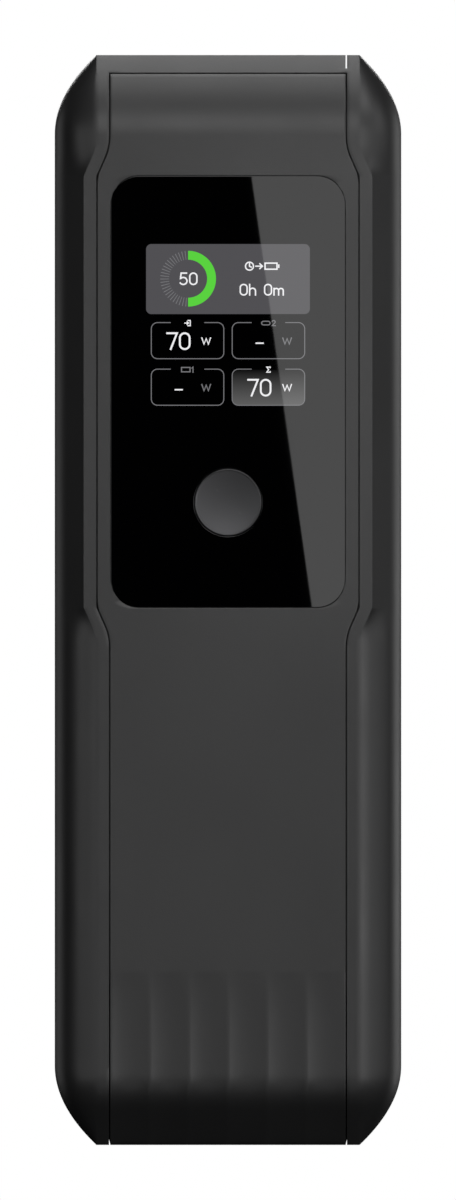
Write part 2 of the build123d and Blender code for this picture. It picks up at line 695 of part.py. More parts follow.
# --- display stack -----------------------------------------------------------------------------
def make_lens():
    """Flat lens with a hole for the button, flush with the panel."""
    lens = front_plate(lens_half(), lens_bottom, lens_top, front_y, lens_back_y, LENS_CORNER)
    return lens - rod((0, front_y - 1, button_z), BUTTON_DIAMETER / 2 + BUTTON_GAP, LENS_THICKNESS + 2, "y")


def make_lens_tape():
    """Tape frame behind the lens."""
    low, high = lens_bottom + TAPE_INSET, lens_top - TAPE_INSET
    corner = LENS_CORNER - TAPE_INSET
    tape = front_plate(lens_half() - TAPE_INSET, low, high, lens_back_y, lens_back_y + TAPE, corner)
    half = lens_half() - LCD_SIDE_MARGIN + TAPE_INSET
    tape -= block((-half, -BIG, lcd_bottom - TAPE_INSET), (half, 0, lcd_top + TAPE_INSET))
    hole = BUTTON_DIAMETER / 2 + BUTTON_FLANGE + TAPE_INSET
    return tape - rod((0, lens_back_y - 1, button_z), hole, TAPE + 2, "y")


def make_lcd():
    """Screen module: glass and back-light frame in one."""
    half = lens_half() - LCD_SIDE_MARGIN
    return block((-half, lcd_front_y, lcd_bottom), (half, lcd_front_y + LCD_THICKNESS, lcd_top))


def make_display_bracket():
    """Plastic frame behind the screen module that stands on the display board."""
    half = lens_half() - LCD_SIDE_MARGIN
    front = lcd_front_y + LCD_THICKNESS
    low, high = lcd_bottom + BRACKET_RISE, lcd_top
    frame = block((-half, front, low), (half, board_front_y, high))
    inner = half - BRACKET_RIM
    return frame - block((-inner, front - 1, low + BRACKET_RIM), (inner, 0, high - BRACKET_RIM))


def make_display_board():
    """Board behind the display that carries the switch."""
    half = panel_half - DISPLAY_BOARD_SIDE
    low, high = lens_bottom + DISPLAY_BOARD_INSET, lens_top - DISPLAY_BOARD_INSET
    board = front_plate(half, low, high, board_front_y, board_back_y, BOARD_CORNER)
    for x, z in display_screws_at:
        board -= rod((x, board_front_y - 1, z), SCREW_RADIUS + 2 * SCREW_CLEARANCE, BOARD_THICKNESS + 2, "y")
    return board


def make_screw(point, length, along="y"):
    """A pan head screw: its head rests at the point and its shank runs backwards along the axis."""
    index = "xyz".index(along)
    top = tuple(value + SCREW_HEAD * (i == index) for i, value in enumerate(point))
    screw = rod(point, SCREW_RADIUS, -length, along) + rod(point, SCREW_HEAD_RADIUS, SCREW_HEAD, along)
    return screw - rod(top, SCREW_SOCKET, -SCREW_SOCKET, along)


def make_display_screws():
    """Four screws that hold the display board."""
    return [make_screw((x, board_back_y, z), BOARD_THICKNESS + DISPLAY_STANDOFF) for x, z in display_screws_at]


def make_display_flex():
    """Flat cable from the screen module round to the front of the display board."""
    end_y = board_front_y - FLEX_THICKNESS / 2
    low = lcd_bottom - FLEX_DROP
    corners = [(flex_y, lcd_bottom), (flex_y, low), (end_y, low), (end_y, lcd_bottom - FLEX_THICKNESS)]
    return ribbon(corners, FLEX_BEND, FLEX_THICKNESS, FLEX_WIDTH)


def ribbon(corners, bend, thickness, width):
    """A flat cable: a line in the YZ plane with rounded corners, given thickness and width."""
    with BuildSketch(Plane.YZ) as sketch:
        with BuildLine():
            FilletPolyline(*corners, radius=bend)
        trace(line_width=thickness)
    return extrude(sketch.sketch, amount=width / 2, dir=(1, 0, 0), both=True)


def make_power_button():
    """Button cap with a finger dish, a retaining flange behind the lens and a stem to the switch."""
    face_y = front_y - BUTTON_PROUD
    radius = BUTTON_DIAMETER / 2
    flange_front = lens_back_y + BUTTON_FLANGE_GAP
    stem_end = board_front_y - SWITCH_HEIGHT - PLUNGER_PROUD
    cap = rod((0, face_y, button_z), radius, flange_front + BUTTON_FLANGE_THICKNESS - face_y, "y")
    cap = chamfer(cap.edges().filter_by(GeomType.CIRCLE).group_by(Axis.Y)[0], BUTTON_EDGE)
    cap += rod((0, flange_front, button_z), radius + BUTTON_FLANGE, BUTTON_FLANGE_THICKNESS, "y")
    cap += rod((0, flange_front, button_z), STEM_RADIUS, stem_end - flange_front, "y")
    dish_radius = (radius**2 + BUTTON_DISH**2) / (2 * BUTTON_DISH)
    return cap - Pos(0, face_y + BUTTON_DISH - dish_radius, button_z) * Sphere(dish_radius)


def make_switch_base():
    """Switch housing with the well in which the plunger and the dome work."""
    half = SWITCH_SIZE / 2
    front = board_front_y - SWITCH_HEIGHT
    base = block((-half, front, button_z - half), (half, board_front_y, button_z + half))
    floor = board_front_y - SWITCH_WALL
    base -= rod((0, floor, button_z), DOME_RADIUS + SWITCH_GAP, front + SWITCH_COVER - floor, "y")
    return base - rod((0, floor, button_z), PLUNGER_RADIUS + SWITCH_GAP, -SWITCH_HEIGHT, "y")


def make_switch_plunger():
    """Plunger between the button's stem and the dome."""
    front = board_front_y - SWITCH_HEIGHT - PLUNGER_PROUD
    dome_top = board_front_y - SWITCH_WALL - DOME_RISE
    return rod((0, front, button_z), PLUNGER_RADIUS, dome_top - BUTTON_TRAVEL - SWITCH_GAP / 2 - front, "y")


def make_switch_dome():
    """Snap dome: a shallow metal cap on the switch's floor."""
    floor = board_front_y - SWITCH_WALL
    radius = (DOME_RADIUS**2 + DOME_RISE**2) / (2 * DOME_RISE)
    centre = Pos(0, floor - DOME_RISE + radius, button_z)
    shell = centre * Sphere(radius) - centre * Sphere(radius - DOME_THICKNESS)
    return shell & rod((0, floor - 1, button_z), DOME_RADIUS, 1, "y")


# --- battery pack ------------------------------------------------------------------------------
def make_cell(centre, low_z):
    """One round cell with its crimp groove and its raised positive pole."""
    x, y = centre
    radius = cell_diameter / 2
    can = rod((x, y, low_z), radius, cell_length - CELL_POLE, "z")
    can = chamfer(can.edges().filter_by(GeomType.CIRCLE), CELL_EDGE)
    groove = (x, y, low_z + cell_length - CELL_CRIMP_DROP)
    ring = rod(groove, radius + 1, CELL_CRIMP_HEIGHT, "z")
    can -= ring - rod(groove, radius - CELL_CRIMP, CELL_CRIMP_HEIGHT, "z")
    return can + rod((x, y, low_z + cell_length - 1), CELL_POLE_RADIUS, 1, "z")


def strips_at(z):
    """Two nickel strips that join the cells front to rear, at one height."""
    half = STRIP_METAL_WIDTH / 2
    reach = cell_pitch / 2 + half
    pieces = []
    for side in (-1, 1):
        x = side * cell_pitch / 2
        pieces.append(block((x - half, pack_y - reach, z), (x + half, pack_y + reach, z + STRIP_METAL)))
    return pieces


def strip_channels(low_z, high_z):
    """Clearance channels in a holder for the nickel strips."""
    half = STRIP_METAL_WIDTH / 2 + CELL_GAP
    reach = cell_pitch / 2 + half
    channels = None
    for side in (-1, 1):
        x = side * cell_pitch / 2
        channel = block((x - half, pack_y - reach, low_z), (x + half, pack_y + reach, high_z))
        channels = channel if channels is None else channels + channel
    return channels


post_reach = holder_half - POST_INSET
port_screws_at = [(-post_reach, pack_y), (post_reach, pack_y), (0, pack_y + post_reach)]


def make_holder(low_z, high_z, below, above):
    """A cell holder: a block with pockets for four cells whose ends lie at the given heights.

    The pockets narrow beyond the cells' ends and channels there take the nickel strips. Where the casing
    leans in further than the block's corners, it trims them."""
    holder = rounded_plate(holder_half, holder_half, low_z, high_z, HOLDER_CORNER, (0, pack_y))
    pocket = cell_diameter / 2 + CELL_CLEARANCE
    for x, y in cell_centres:
        holder -= rod((x, y, low_z - 1), pocket - HOLDER_RIM, high_z - low_z + 2, "z")
        if below is not None:
            holder -= rod((x, y, low_z - 1), pocket, below - low_z + 1, "z")
        if above is not None:
            holder -= rod((x, y, above), pocket, high_z - above + 1, "z")
    web_low = low_z - 1 if below is None else below
    web_high = high_z + 1 if above is None else above
    spare = FIT_GAP / 2
    room = body(cavity_half_width - spare, cavity_half_depth - spare, cavity_crease - spare, 0, HEIGHT)
    return (holder - strip_channels(web_low, web_high)) & room


def make_bottom_holder():
    """Holder under the lower cells."""
    return make_holder(*holder_levels[0], None, lower_cell_z)


def make_middle_holder():
    """Holder between the two layers of cells."""
    return make_holder(*holder_levels[1], lower_cell_z + cell_length, upper_cell_z)


def make_top_holder():
    """Top holder with the port board's posts and screw holes, and slots for the battery wires."""
    low, high = holder_levels[2]
    cell_top = upper_cell_z + cell_length
    holder = make_holder(low, high, cell_top, None)
    for x, y in port_screws_at + [(0, pack_y - post_reach)]:
        holder += rod((x, y, high - 1), BOSS_RADIUS, STANDOFF + 1, "z")
    hole = SCREW_RADIUS + SCREW_CLEARANCE
    for x, y in port_screws_at:
        holder -= rod((x, y, port_board_bottom), hole, -(STANDOFF + PORT_SCREW_GRIP + SCREW_TIP_ROOM), "z")
    reach = WIRE_DIAMETER / 2 + WIRE_GAP
    for side in (-1, 1):
        x = side * WIRE_X
        holder -= block((x - reach, pack_front_y - 1, cell_top), (x + reach, pack_y - cell_pitch / 2, high + 1))
        holder -= block((x - reach, pack_front_y - 1, low - 1), (x + reach, pack_front_y + WIRE_BEND, high + 1))
    return holder


def make_insulator(low_z):
    """Insulating sheet over an end of the pack."""
    half = holder_half - INSULATOR_INSET
    return rounded_plate(half, half, low_z, low_z + INSULATOR, HOLDER_CORNER, (0, pack_y))


def make_separators():
    """Two insulating strips between the nickel strips of the two layers."""
    half = STRIP_METAL_WIDTH / 2
    reach = cell_pitch / 2 + half
    low = lower_cell_z + cell_length + STRIP_METAL + SEPARATOR_GAP
    high = upper_cell_z - STRIP_METAL - SEPARATOR_GAP
    strips = []
    for side in (-1, 1):
        x = side * cell_pitch / 2
        strips.append(block((x - half, pack_y - reach, low), (x + half, pack_y + reach, high)))
    return strips


def make_base_foam():
    """Foam pad under the pack, on the base cap."""
    inset = CAP_FLANGE + FOAM_GAP
    low, high = CAP_THICKNESS, holder_bottom - INSULATOR
    return rounded_plate(cap_half_x - inset, cap_half_y - inset, low, high, CAP_CORNER)


def make_foam_pad():
    """Foam between the lower cells and the rear casing wall."""
    back = cavity_half_depth - FOAM_SQUEEZE_ROOM
    front = pack_y + cell_pitch / 2 + cell_diameter / 2 + FOAM_SQUEEZE_ROOM
    low, high = holder_levels[0][1] + FOAM_MARGIN, holder_levels[1][0] - FOAM_MARGIN
    return front_plate(cell_pitch / 2 + STRIP_METAL_WIDTH / 2, low, high, front, back, BOARD_CORNER)


# --- main board --------------------------------------------------------------------------------
def on_main_board(low_x, high_x, low_z, high_z, height):
    """A component on the front of the main board."""
    return block((low_x, main_front_y - height, low_z), (high_x, main_front_y, high_z))


def make_main_board():
    """Power board in the lower half, in front of the pack."""
    board = front_plate(main_half, MAIN_BOARD_BOTTOM, main_board_top, main_front_y, main_back_y, BOARD_CORNER)
    for x, z in main_screws_at:
        board -= rod((x, main_front_y - 1, z), SCREW_RADIUS + 2 * SCREW_CLEARANCE, BOARD_THICKNESS + 2, "y")
    return board


main_middle = (MAIN_BOARD_BOTTOM + main_board_top) / 2
capacitor_row_z = main_middle
inductor_row_z = capacitor_row_z - CAPACITOR_RADIUS - INDUCTOR_SIZE / 2 - COMPONENT_GAP
transistor_row_z = inductor_row_z - INDUCTOR_SIZE / 2 - TRANSISTOR_SIZE / 2 - COMPONENT_GAP
controller_z = capacitor_row_z + CAPACITOR_RADIUS + CHIP_SIZE / 2 + 2 * COMPONENT_GAP
spreader_back_y = ledge_back_y + SPREADER_THICKNESS


def make_inductor(side):
    """Moulded power inductor with clipped corners."""
    x = side * (INDUCTOR_SIZE / 2 + COMPONENT_GAP)
    z = inductor_row_z
    half = INDUCTOR_SIZE / 2
    body_block = on_main_board(x - half, x + half, z - half, z + half, INDUCTOR_HEIGHT)
    return chamfer(body_block.edges().filter_by(Axis.Y), INDUCTOR_CORNER)


def make_capacitors():
    """Row of four polymer capacitors across the board."""
    pitch = 2 * CAPACITOR_RADIUS + COMPONENT_GAP
    cans = []
    for i in range(4):
        can = rod(((i - 1.5) * pitch, main_front_y, capacitor_row_z), CAPACITOR_RADIUS, -CAPACITOR_HEIGHT, "y")
        cans.append(fillet(can.edges().filter_by(GeomType.CIRCLE).group_by(Axis.Y)[0], CAPACITOR_EDGE))
    return cans


transistor_places = [(i - 1.5) * (TRANSISTOR_SIZE + COMPONENT_GAP) for i in range(4)]


def make_transistors():
    """Four power transistors in a row."""
    half = TRANSISTOR_SIZE / 2
    z = transistor_row_z
    return [on_main_board(x - half, x + half, z - half, z + half, CHIP_HEIGHT) for x in transistor_places]


def make_controller():
    """Charge controller chip."""
    half = CHIP_SIZE / 2
    return on_main_board(-half, half, controller_z - half, controller_z + half, CHIP_HEIGHT)


def make_link_connector():
    """Connector on the main board that takes the ribbon from the sockets."""
    half = CONNECTOR_WIDTH / 2
    top = main_board_top - LINK_DROP
    socket = on_main_board(-half, half, top - CONNECTOR_LENGTH, top, CONNECTOR_HEIGHT)
    slot_y = main_front_y - CONNECTOR_HEIGHT / 2
    slot_half = RIBBON_THICKNESS / 2 + RIBBON_GAP
    width = RIBBON_WIDTH / 2 + RIBBON_GAP
    slot_end = top - CONNECTOR_GRIP - RIBBON_GAP
    return socket - block((-width, slot_y - slot_half, slot_end), (width, slot_y + slot_half, top + 1))


def make_thermal_pad():
    """Soft pad from the power transistors to the heat spreader."""
    reach = transistor_places[-1] + TRANSISTOR_SIZE / 2
    low, high = transistor_row_z - TRANSISTOR_SIZE / 2, transistor_row_z + TRANSISTOR_SIZE / 2
    return block((-reach, spreader_back_y, low), (reach, main_front_y - CHIP_HEIGHT, high))


def make_heat_spreader():
    """Aluminium sheet on the casing ledge, in front of the main board."""
    half = main_half - BOARD_EDGE - BOSS_RADIUS - SPREADER_GAP
    low = MAIN_BOARD_BOTTOM + BOARD_EDGE
    high = min(main_board_top, display_window[1]) - BOARD_EDGE
    front = spreader_back_y - SPREADER_THICKNESS
    return front_plate(half, low, high, front, spreader_back_y, BOARD_CORNER)


def make_board_screws():
    """Four screws that hold the main board."""
    return [make_screw((x, main_back_y, z), BOARD_THICKNESS + MAIN_SCREW_GRIP) for x, z in main_screws_at]


def make_port_ribbon():
    """Ribbon cable from the port board down to the main board."""
    run_y = main_front_y - CONNECTOR_HEIGHT / 2
    top_z = port_board_top + CONNECTOR_HEIGHT / 2
    end_z = main_board_top - LINK_DROP - CONNECTOR_GRIP
    corners = [(link_front_y + CONNECTOR_GRIP, top_z), (run_y, top_z), (run_y, end_z)]
    return ribbon(corners, RIBBON_BEND, RIBBON_THICKNESS, RIBBON_WIDTH)


def make_port_connector():
    """Connector on the port board's front edge that takes the ribbon."""
    half = CONNECTOR_WIDTH / 2
    front, back = link_front_y, link_front_y + CONNECTOR_LENGTH
    socket = block((-half, front, port_board_top), (half, back, port_board_top + CONNECTOR_HEIGHT))
    slot_z = port_board_top + CONNECTOR_HEIGHT / 2
    slot_half = RIBBON_THICKNESS / 2 + RIBBON_GAP
    width = RIBBON_WIDTH / 2 + RIBBON_GAP
    slot_end = front + CONNECTOR_GRIP + RIBBON_GAP
    return socket - block((-width, front - 1, slot_z - slot_half), (width, slot_end, slot_z + slot_half))


def make_wire(side):
    """Battery wire from a top strip, over the pack's front edge and down to the back of the main board."""
    x = side * WIRE_X
    z = upper_cell_z + cell_length + STRIP_METAL + WIRE_DIAMETER / 2
    y = (pack_front_y + main_back_y) / 2
    points = [(x, pack_y - cell_pitch / 2 - WIRE_REACH, z), (x, y, z), (x, y, main_board_top - WIRE_DROP)]
    path = FilletPolyline(*points, radius=WIRE_BEND)
    start = Plane(origin=path @ 0, z_dir=path % 0)
    return sweep(start * Circle(WIRE_DIAMETER / 2), path=path)


# --- port board and sockets --------------------------------------------------------------------
def make_port_board():
    """Board on the top holder that carries the sockets."""
    half_x = holder_half - PORT_BOARD_SIDE
    half_y = (port_board_back_y - port_board_front_y) / 2
    middle = (port_board_back_y + port_board_front_y) / 2
    board = rounded_plate(half_x, half_y, port_board_bottom, port_board_top, BOARD_CORNER, (0, middle))
    for x, y in port_screws_at:
        hole = SCREW_RADIUS + 2 * SCREW_CLEARANCE
        board -= rod((x, y, port_board_bottom - 1), hole, PORT_BOARD_THICKNESS + 2, "z")
    return board


def make_port_board_screws():
    """Three screws that hold the port board."""
    length = PORT_BOARD_THICKNESS + STANDOFF + PORT_SCREW_GRIP
    return [make_screw((x, y, port_board_top), length, "z") for x, y in port_screws_at]


def make_usb_c_shell(centre):
    """Drawn steel shell of a USB-C socket."""
    low, high = port_board_top, HEIGHT - SOCKET_SET_BACK
    outer = socket_outline(USB_C_WIDTH, USB_C_HEIGHT, usb_c_corner, centre, low, high)
    return outer - socket_outline(
        USB_C_WIDTH, USB_C_HEIGHT, usb_c_corner, centre, low - 1, high + 1, -SOCKET_WALL
    )


def make_usb_c_insert(centre):
    """Plastic block and tongue inside a USB-C socket."""
    low, high = port_board_top, HEIGHT - SOCKET_SET_BACK
    block_top = low + USB_C_BLOCK
    foot = socket_outline(USB_C_WIDTH, USB_C_HEIGHT, usb_c_corner, centre, low, block_top, -SOCKET_WALL)
    half_w, half_t = USB_C_TONGUE_WIDTH / 2, USB_C_TONGUE_THICKNESS / 2
    x, y = centre
    tip = high - USB_C_TONGUE_SET_BACK
    return foot + block((x - half_w, y - half_t, low + 1), (x + half_w, y + half_t, tip))


def make_usb_a_shell():
    """Folded steel shell of the USB-A socket."""
    low, high = port_board_top, HEIGHT - SOCKET_SET_BACK
    outer = socket_outline(USB_A_WIDTH, USB_A_HEIGHT, USB_A_CORNER, usb_a_centre, low, high)
    inner = socket_outline(
        USB_A_WIDTH, USB_A_HEIGHT, USB_A_CORNER, usb_a_centre, low - 1, high + 1, -SOCKET_WALL
    )
    return outer - inner


def make_usb_a_insert():
    """Plastic block and tongue inside the USB-A socket."""
    low, high = port_board_top, HEIGHT - SOCKET_SET_BACK
    foot_top = low + USB_A_BLOCK
    foot = socket_outline(USB_A_WIDTH, USB_A_HEIGHT, USB_A_CORNER, usb_a_centre, low, foot_top, -SOCKET_WALL)
    y = usb_a_centre[1] + USB_A_TONGUE_OFFSET
    half_w, half_t = USB_A_TONGUE_WIDTH / 2, USB_A_TONGUE_THICKNESS / 2
    return foot + block((-half_w, y - half_t, low + 1), (half_w, y + half_t, high - USB_A_TONGUE_SET_BACK))


def make_housing_screws():
    """Two long screws that draw the casing halves together near the top, from under the rear panel."""
    return [
        make_screw((side * housing_screw_x, HOUSING_SCREW_SEAT, housing_screw_z), HOUSING_SCREW_LENGTH)
        for side in (-1, 1)
    ]


# --- build and write ---------------------------------------------------------------------------
def build():
    """Every piece by name; a list is a group of like solids."""
    parts = {
        "front_housing": make_front_housing(),
        "rear_housing": make_rear_housing(),
        "front_panel": make_front_panel(),
        "rear_panel": turned(make_panel(False)),
        "front_panel_tape": make_panel_tape(True),
        "rear_panel_tape": turned(make_panel_tape(False)),
        "port_cap": make_port_cap(),
        "base_cap": make_end_cap(0),
        "display_lens": make_lens(),
        "lens_tape": make_lens_tape(),
        "screen_module": make_lcd(),
        "display_bracket": make_display_bracket(),
        "display_board": make_display_board(),
        "display_screws": make_display_screws(),
        "display_flex": make_display_flex(),
        "power_button": make_power_button(),
        "switch_base": make_switch_base(),
        "switch_plunger": make_switch_plunger(),
        "switch_dome": make_switch_dome(),
        "cell_holder_bottom": make_bottom_holder(),
        "cell_holder_middle": make_middle_holder(),
        "cell_holder_top": make_top_holder(),
        "bus_strips_bottom": strips_at(lower_cell_z - STRIP_METAL),
        "bus_strips_middle": strips_at(lower_cell_z + cell_length) + strips_at(upper_cell_z - STRIP_METAL),
        "bus_strips_top": strips_at(upper_cell_z + cell_length),
        "layer_separators": make_separators(),
        "base_foam_pad": make_base_foam(),
        "pack_insulator_bottom": make_insulator(holder_bottom - INSULATOR),
        "pack_foam_pad": make_foam_pad(),
        "main_board": make_main_board(),
        "power_inductor_left": make_inductor(-1),
        "power_inductor_right": make_inductor(1),
        "bulk_capacitors": make_capacitors(),
        "power_transistors": make_transistors(),
        "charge_controller": make_controller(),
        "ribbon_connector_main": make_link_connector(),
        "thermal_pad": make_thermal_pad(),
        "heat_spreader": make_heat_spreader(),
        "main_board_screws": make_board_screws(),
        "port_board": make_port_board(),
        "port_board_screws": make_port_board_screws(),
        "ribbon_connector_ports": make_port_connector(),
        "port_ribbon": make_port_ribbon(),
        "battery_wire_positive": make_wire(-1),
        "battery_wire_negative": make_wire(1),
        "usb_a_shell": make_usb_a_shell(),
        "usb_a_insert": make_usb_a_insert(),
        "housing_screws": make_housing_screws(),
    }
    for i, centre in enumerate(usb_c_centres, 1):
        parts[f"usb_c_shell_{i}"] = make_usb_c_shell(centre)
        parts[f"usb_c_insert_{i}"] = make_usb_c_insert(centre)
    for layer, low_z in enumerate((lower_cell_z, upper_cell_z)):
        for i, centre in enumerate(cell_centres, 1):
            parts[f"cell_{4 * layer + i}"] = make_cell(centre, low_z)
    return parts


def write(parts):
    """One STEP file per piece."""
    os.makedirs("parts", exist_ok=True)
    for name, shape in parts.items():
        solids = [s for item in (shape if isinstance(shape, list) else [shape]) for s in item.solids()]
        export_step(Compound(children=solids) if len(solids) > 1 else solids[0], f"parts/{name}.step")


write(build())
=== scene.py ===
import json
import math

import bmesh
import bpy
import numpy as np
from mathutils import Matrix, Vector


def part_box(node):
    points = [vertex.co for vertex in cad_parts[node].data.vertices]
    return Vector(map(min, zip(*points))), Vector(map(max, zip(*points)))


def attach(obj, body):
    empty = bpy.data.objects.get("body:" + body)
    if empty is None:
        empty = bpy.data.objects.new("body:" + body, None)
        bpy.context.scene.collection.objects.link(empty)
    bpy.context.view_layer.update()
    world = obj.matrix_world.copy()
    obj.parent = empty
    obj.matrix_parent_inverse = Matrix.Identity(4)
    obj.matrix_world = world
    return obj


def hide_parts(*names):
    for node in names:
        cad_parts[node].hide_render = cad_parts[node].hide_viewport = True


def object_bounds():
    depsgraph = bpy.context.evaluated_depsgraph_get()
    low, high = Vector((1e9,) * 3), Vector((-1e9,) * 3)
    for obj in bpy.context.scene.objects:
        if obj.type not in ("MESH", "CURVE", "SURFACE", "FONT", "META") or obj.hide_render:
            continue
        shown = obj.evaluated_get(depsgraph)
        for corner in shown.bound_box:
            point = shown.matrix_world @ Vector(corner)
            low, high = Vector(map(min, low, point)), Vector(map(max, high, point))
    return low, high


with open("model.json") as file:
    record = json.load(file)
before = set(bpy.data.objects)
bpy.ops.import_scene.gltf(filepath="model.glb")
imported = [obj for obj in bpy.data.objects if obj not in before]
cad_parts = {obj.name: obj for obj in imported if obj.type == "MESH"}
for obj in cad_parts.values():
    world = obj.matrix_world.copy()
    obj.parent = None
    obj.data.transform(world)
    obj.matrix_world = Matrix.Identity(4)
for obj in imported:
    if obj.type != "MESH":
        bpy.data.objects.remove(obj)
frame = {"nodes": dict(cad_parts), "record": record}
CAD_BOX = [list(corner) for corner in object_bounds()]

bl_info = {
    "name": "Pocket charger builder",
    "version": (1, 0, 0),
    "blender": (4, 5, 0),
    "location": "3D View > Sidebar > Charger",
    "description": "Builds the finished surfaces of a pocket charger around its packed frame",
    "category": "Mesh",
}

MM = 0.001
BODY = "charger_body"
BUTTON_BODY = "button"
HIGH = CAD_BOX[1]
HEIGHT = float(HIGH[2])
HALF_WIDTH = float(HIGH[0])
LENS_LOW, LENS_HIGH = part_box("display_lens")
BUTTON_LOW, BUTTON_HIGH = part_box("power_button")
PANEL_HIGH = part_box("front_panel")[1]
REAR_PANEL_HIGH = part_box("rear_panel")[1]
CAP_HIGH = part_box("port_cap")[1]
LENS_FACE = float(LENS_LOW[1])
HALF_DEPTH = -LENS_FACE
BUTTON_Z = float(BUTTON_LOW[2] + BUTTON_HIGH[2]) / 2


# --- settings ------------------------------------------------------------------------------------------
def length(name, description, default):
    """A property that holds a length in metres."""
    return bpy.props.FloatProperty(
        name=name, description=description, default=default, unit="LENGTH", subtype="DISTANCE", precision=5
    )


def colour(name, description, default):
    """A property that holds a linear colour."""
    return bpy.props.FloatVectorProperty(
        name=name, description=description, default=default, size=3, subtype="COLOR", min=0, max=1
    )


class ChargerBody(bpy.types.PropertyGroup):
    """Sizes of the casing's outer form"""

    end_rise: length("End rise", "Height of each curved end", 11.3 * MM)
    end_inset: length("End inset", "How far a side has leaned in at a flat end", 5.95 * MM)
    face_rise: length("Face rise", "Height of a main face's curved foot", 10.0 * MM)
    face_angle: bpy.props.FloatProperty(
        name="Face angle",
        description="Slant of a main face at the base",
        default=math.radians(39),
        unit="ROTATION",
    )
    corner_depth: length("Corner depth", "Rounding from a main face to the side", 9.3 * MM)
    corner_lift: bpy.props.FloatProperty(
        name="Corner lift",
        description="Share of the corner depth at the rounding's control point",
        default=0.15,
    )
    shoulder_lift: bpy.props.FloatProperty(
        name="Shoulder lift",
        description="The same beside the display, where a straight ramp starts",
        default=0.3,
    )
    shoulder_split: bpy.props.FloatProperty(
        name="Shoulder split", description="Where the shoulder's ramp leaves the rounding", default=0.46
    )
    shoulder_rise: length("Shoulder rise", "Height of the blend beside the display's ends", 5.7 * MM)
    shoulder_angle: bpy.props.FloatProperty(
        name="Shoulder angle",
        description="Slant of the blend's straight part",
        default=math.radians(24),
        unit="ROTATION",
    )
    seam: length("Seam", "Gap round a panel", 0.2 * MM)
    parting: length("Parting gap", "Gap between the casing halves", 0.1 * MM)
    skin: length("Skin", "Thickness given to the shells", 1.1 * MM)
    panel_wall: length("Panel thickness", "Thickness of a face panel", 2.1 * MM)
    edge: length("Edge", "Rounding of the shells' edges", 0.14 * MM)
    cap_corner: length("Cap corner", "Corner radius of the end caps", 3.0 * MM)
    cap_gap: length("Cap gap", "Gap round an end cap", 0.1 * MM)
    pocket: length("Pocket depth", "From the face to the foot of a panel's pocket", 2.95 * MM)
    slot_foot: length("Lower slots", "Height of the slots beside the panels at the base", 1.0 * MM)
    slot_head: length("Upper slot", "Height of the slot at the top, measured from it", 1.9 * MM)
    flute_rise: length("Flute rise", "Height of the flutes", 25.0 * MM)
    flute_depth: length("Flute depth", "Depth of a flute at the base", 0.27 * MM)
    flute_fade: bpy.props.FloatProperty(
        name="Flute fade", description="Power of the height's share by which a flute runs out", default=4.0
    )
    flute_count: bpy.props.IntProperty(name="Flutes", description="Flutes across a panel", default=6)
    scallop: length("Scallop", "How far a flute's lower edge is raised", 0.1 * MM)
    lens_corner: length("Lens corner", "Corner radius of the lens", 4.0 * MM)
    lens_gap: length("Lens gap", "Gap round the lens", 0.08 * MM)


class ChargerColours(bpy.types.PropertyGroup):
    """Colours of the finishes"""

    casing: colour("Casing", "Moulded casing halves", (0.014, 0.014, 0.0143))
    panel: colour("Panels", "Face panels", (0.014, 0.014, 0.0143))
    cap: colour("Caps", "End caps", (0.011, 0.011, 0.0113))
    button: colour("Button", "Anodised button", (0.042, 0.042, 0.044))
    card: colour("Card", "Lit card behind the charge ring", (0.084, 0.082, 0.089))
    charge: colour("Charge", "Lit part of the charge ring", (0.105, 0.66, 0.052))
    tick: colour("Ticks", "Unlit part of the charge ring", (0.19, 0.19, 0.20))
    digit: colour("Digits", "Lit digits", (0.92, 0.92, 0.94))
    faint: colour("Faint marks", "Outlines and idle marks", (0.19, 0.19, 0.20))


class ChargerLook(bpy.types.PropertyGroup):
    """Settings of the stage"""

    frame_height: length("Frame height", "Height that the camera's view covers", 171.43 * MM)
    floor_size: length("Floor", "Side of the square floor", 6.0)
    floor_colour: colour("Floor colour", "Pale floor", (0.80, 0.80, 0.80))
    sky: bpy.props.FloatProperty(
        name="Sky", description="Strength of the dim surrounding light", default=0.07
    )


# --- mesh tools ----------------------------------------------------------------------------------------
def grid_faces(rows, cols, offset=0, keep=None):
    """Quads of a rows by cols grid of vertices: corners (i, j), (i, j+1), (i+1, j+1), (i+1, j)."""
    index = np.arange(rows * cols).reshape(rows, cols) + offset
    quads = np.stack([index[:-1, :-1], index[:-1, 1:], index[1:, 1:], index[1:, :-1]], axis=-1)
    return quads.reshape(-1, 4) if keep is None else quads[keep]


def weld(grids):
    """One vertex and face list from several grids; points equal to a tenth of a micron become one."""
    points, faces, offset = [], [], 0
    for grid in grids:
        array, keep = grid if isinstance(grid, tuple) else (grid, None)
        rows, cols = array.shape[:2]
        points.append(array.reshape(-1, 3))
        faces.append(grid_faces(rows, cols, offset, keep))
        offset += rows * cols
    points, faces = np.concatenate(points), np.concatenate(faces)
    keys = np.round(points * 1e7).astype(np.int64)
    _, first, inverse = np.unique(keys, axis=0, return_index=True, return_inverse=True)
    faces = inverse.reshape(-1)[faces]
    same = (faces == np.roll(faces, 1, axis=1)).sum(axis=1)
    whole = faces[same == 0]
    pinched = [list(dict.fromkeys(face)) for face in faces[same == 1].tolist()]
    used = np.unique(np.concatenate([whole.reshape(-1), np.array(sum(pinched, []), int)]))
    renumber = np.full(len(first), -1)
    renumber[used] = np.arange(len(used))
    new_faces = renumber[whole].tolist() + [[int(renumber[v]) for v in face] for face in pinched]
    return points[first][used], new_faces


def apart(grids):
    """One vertex and face list from grids that stay apart, each welded on its own."""
    points, faces, offset = [], [], 0
    for grid in grids:
        part_points, part_faces = weld([grid])
        points.append(part_points)
        faces += [[v + offset for v in face] for face in part_faces]
        offset += len(part_points)
    return np.concatenate(points), faces


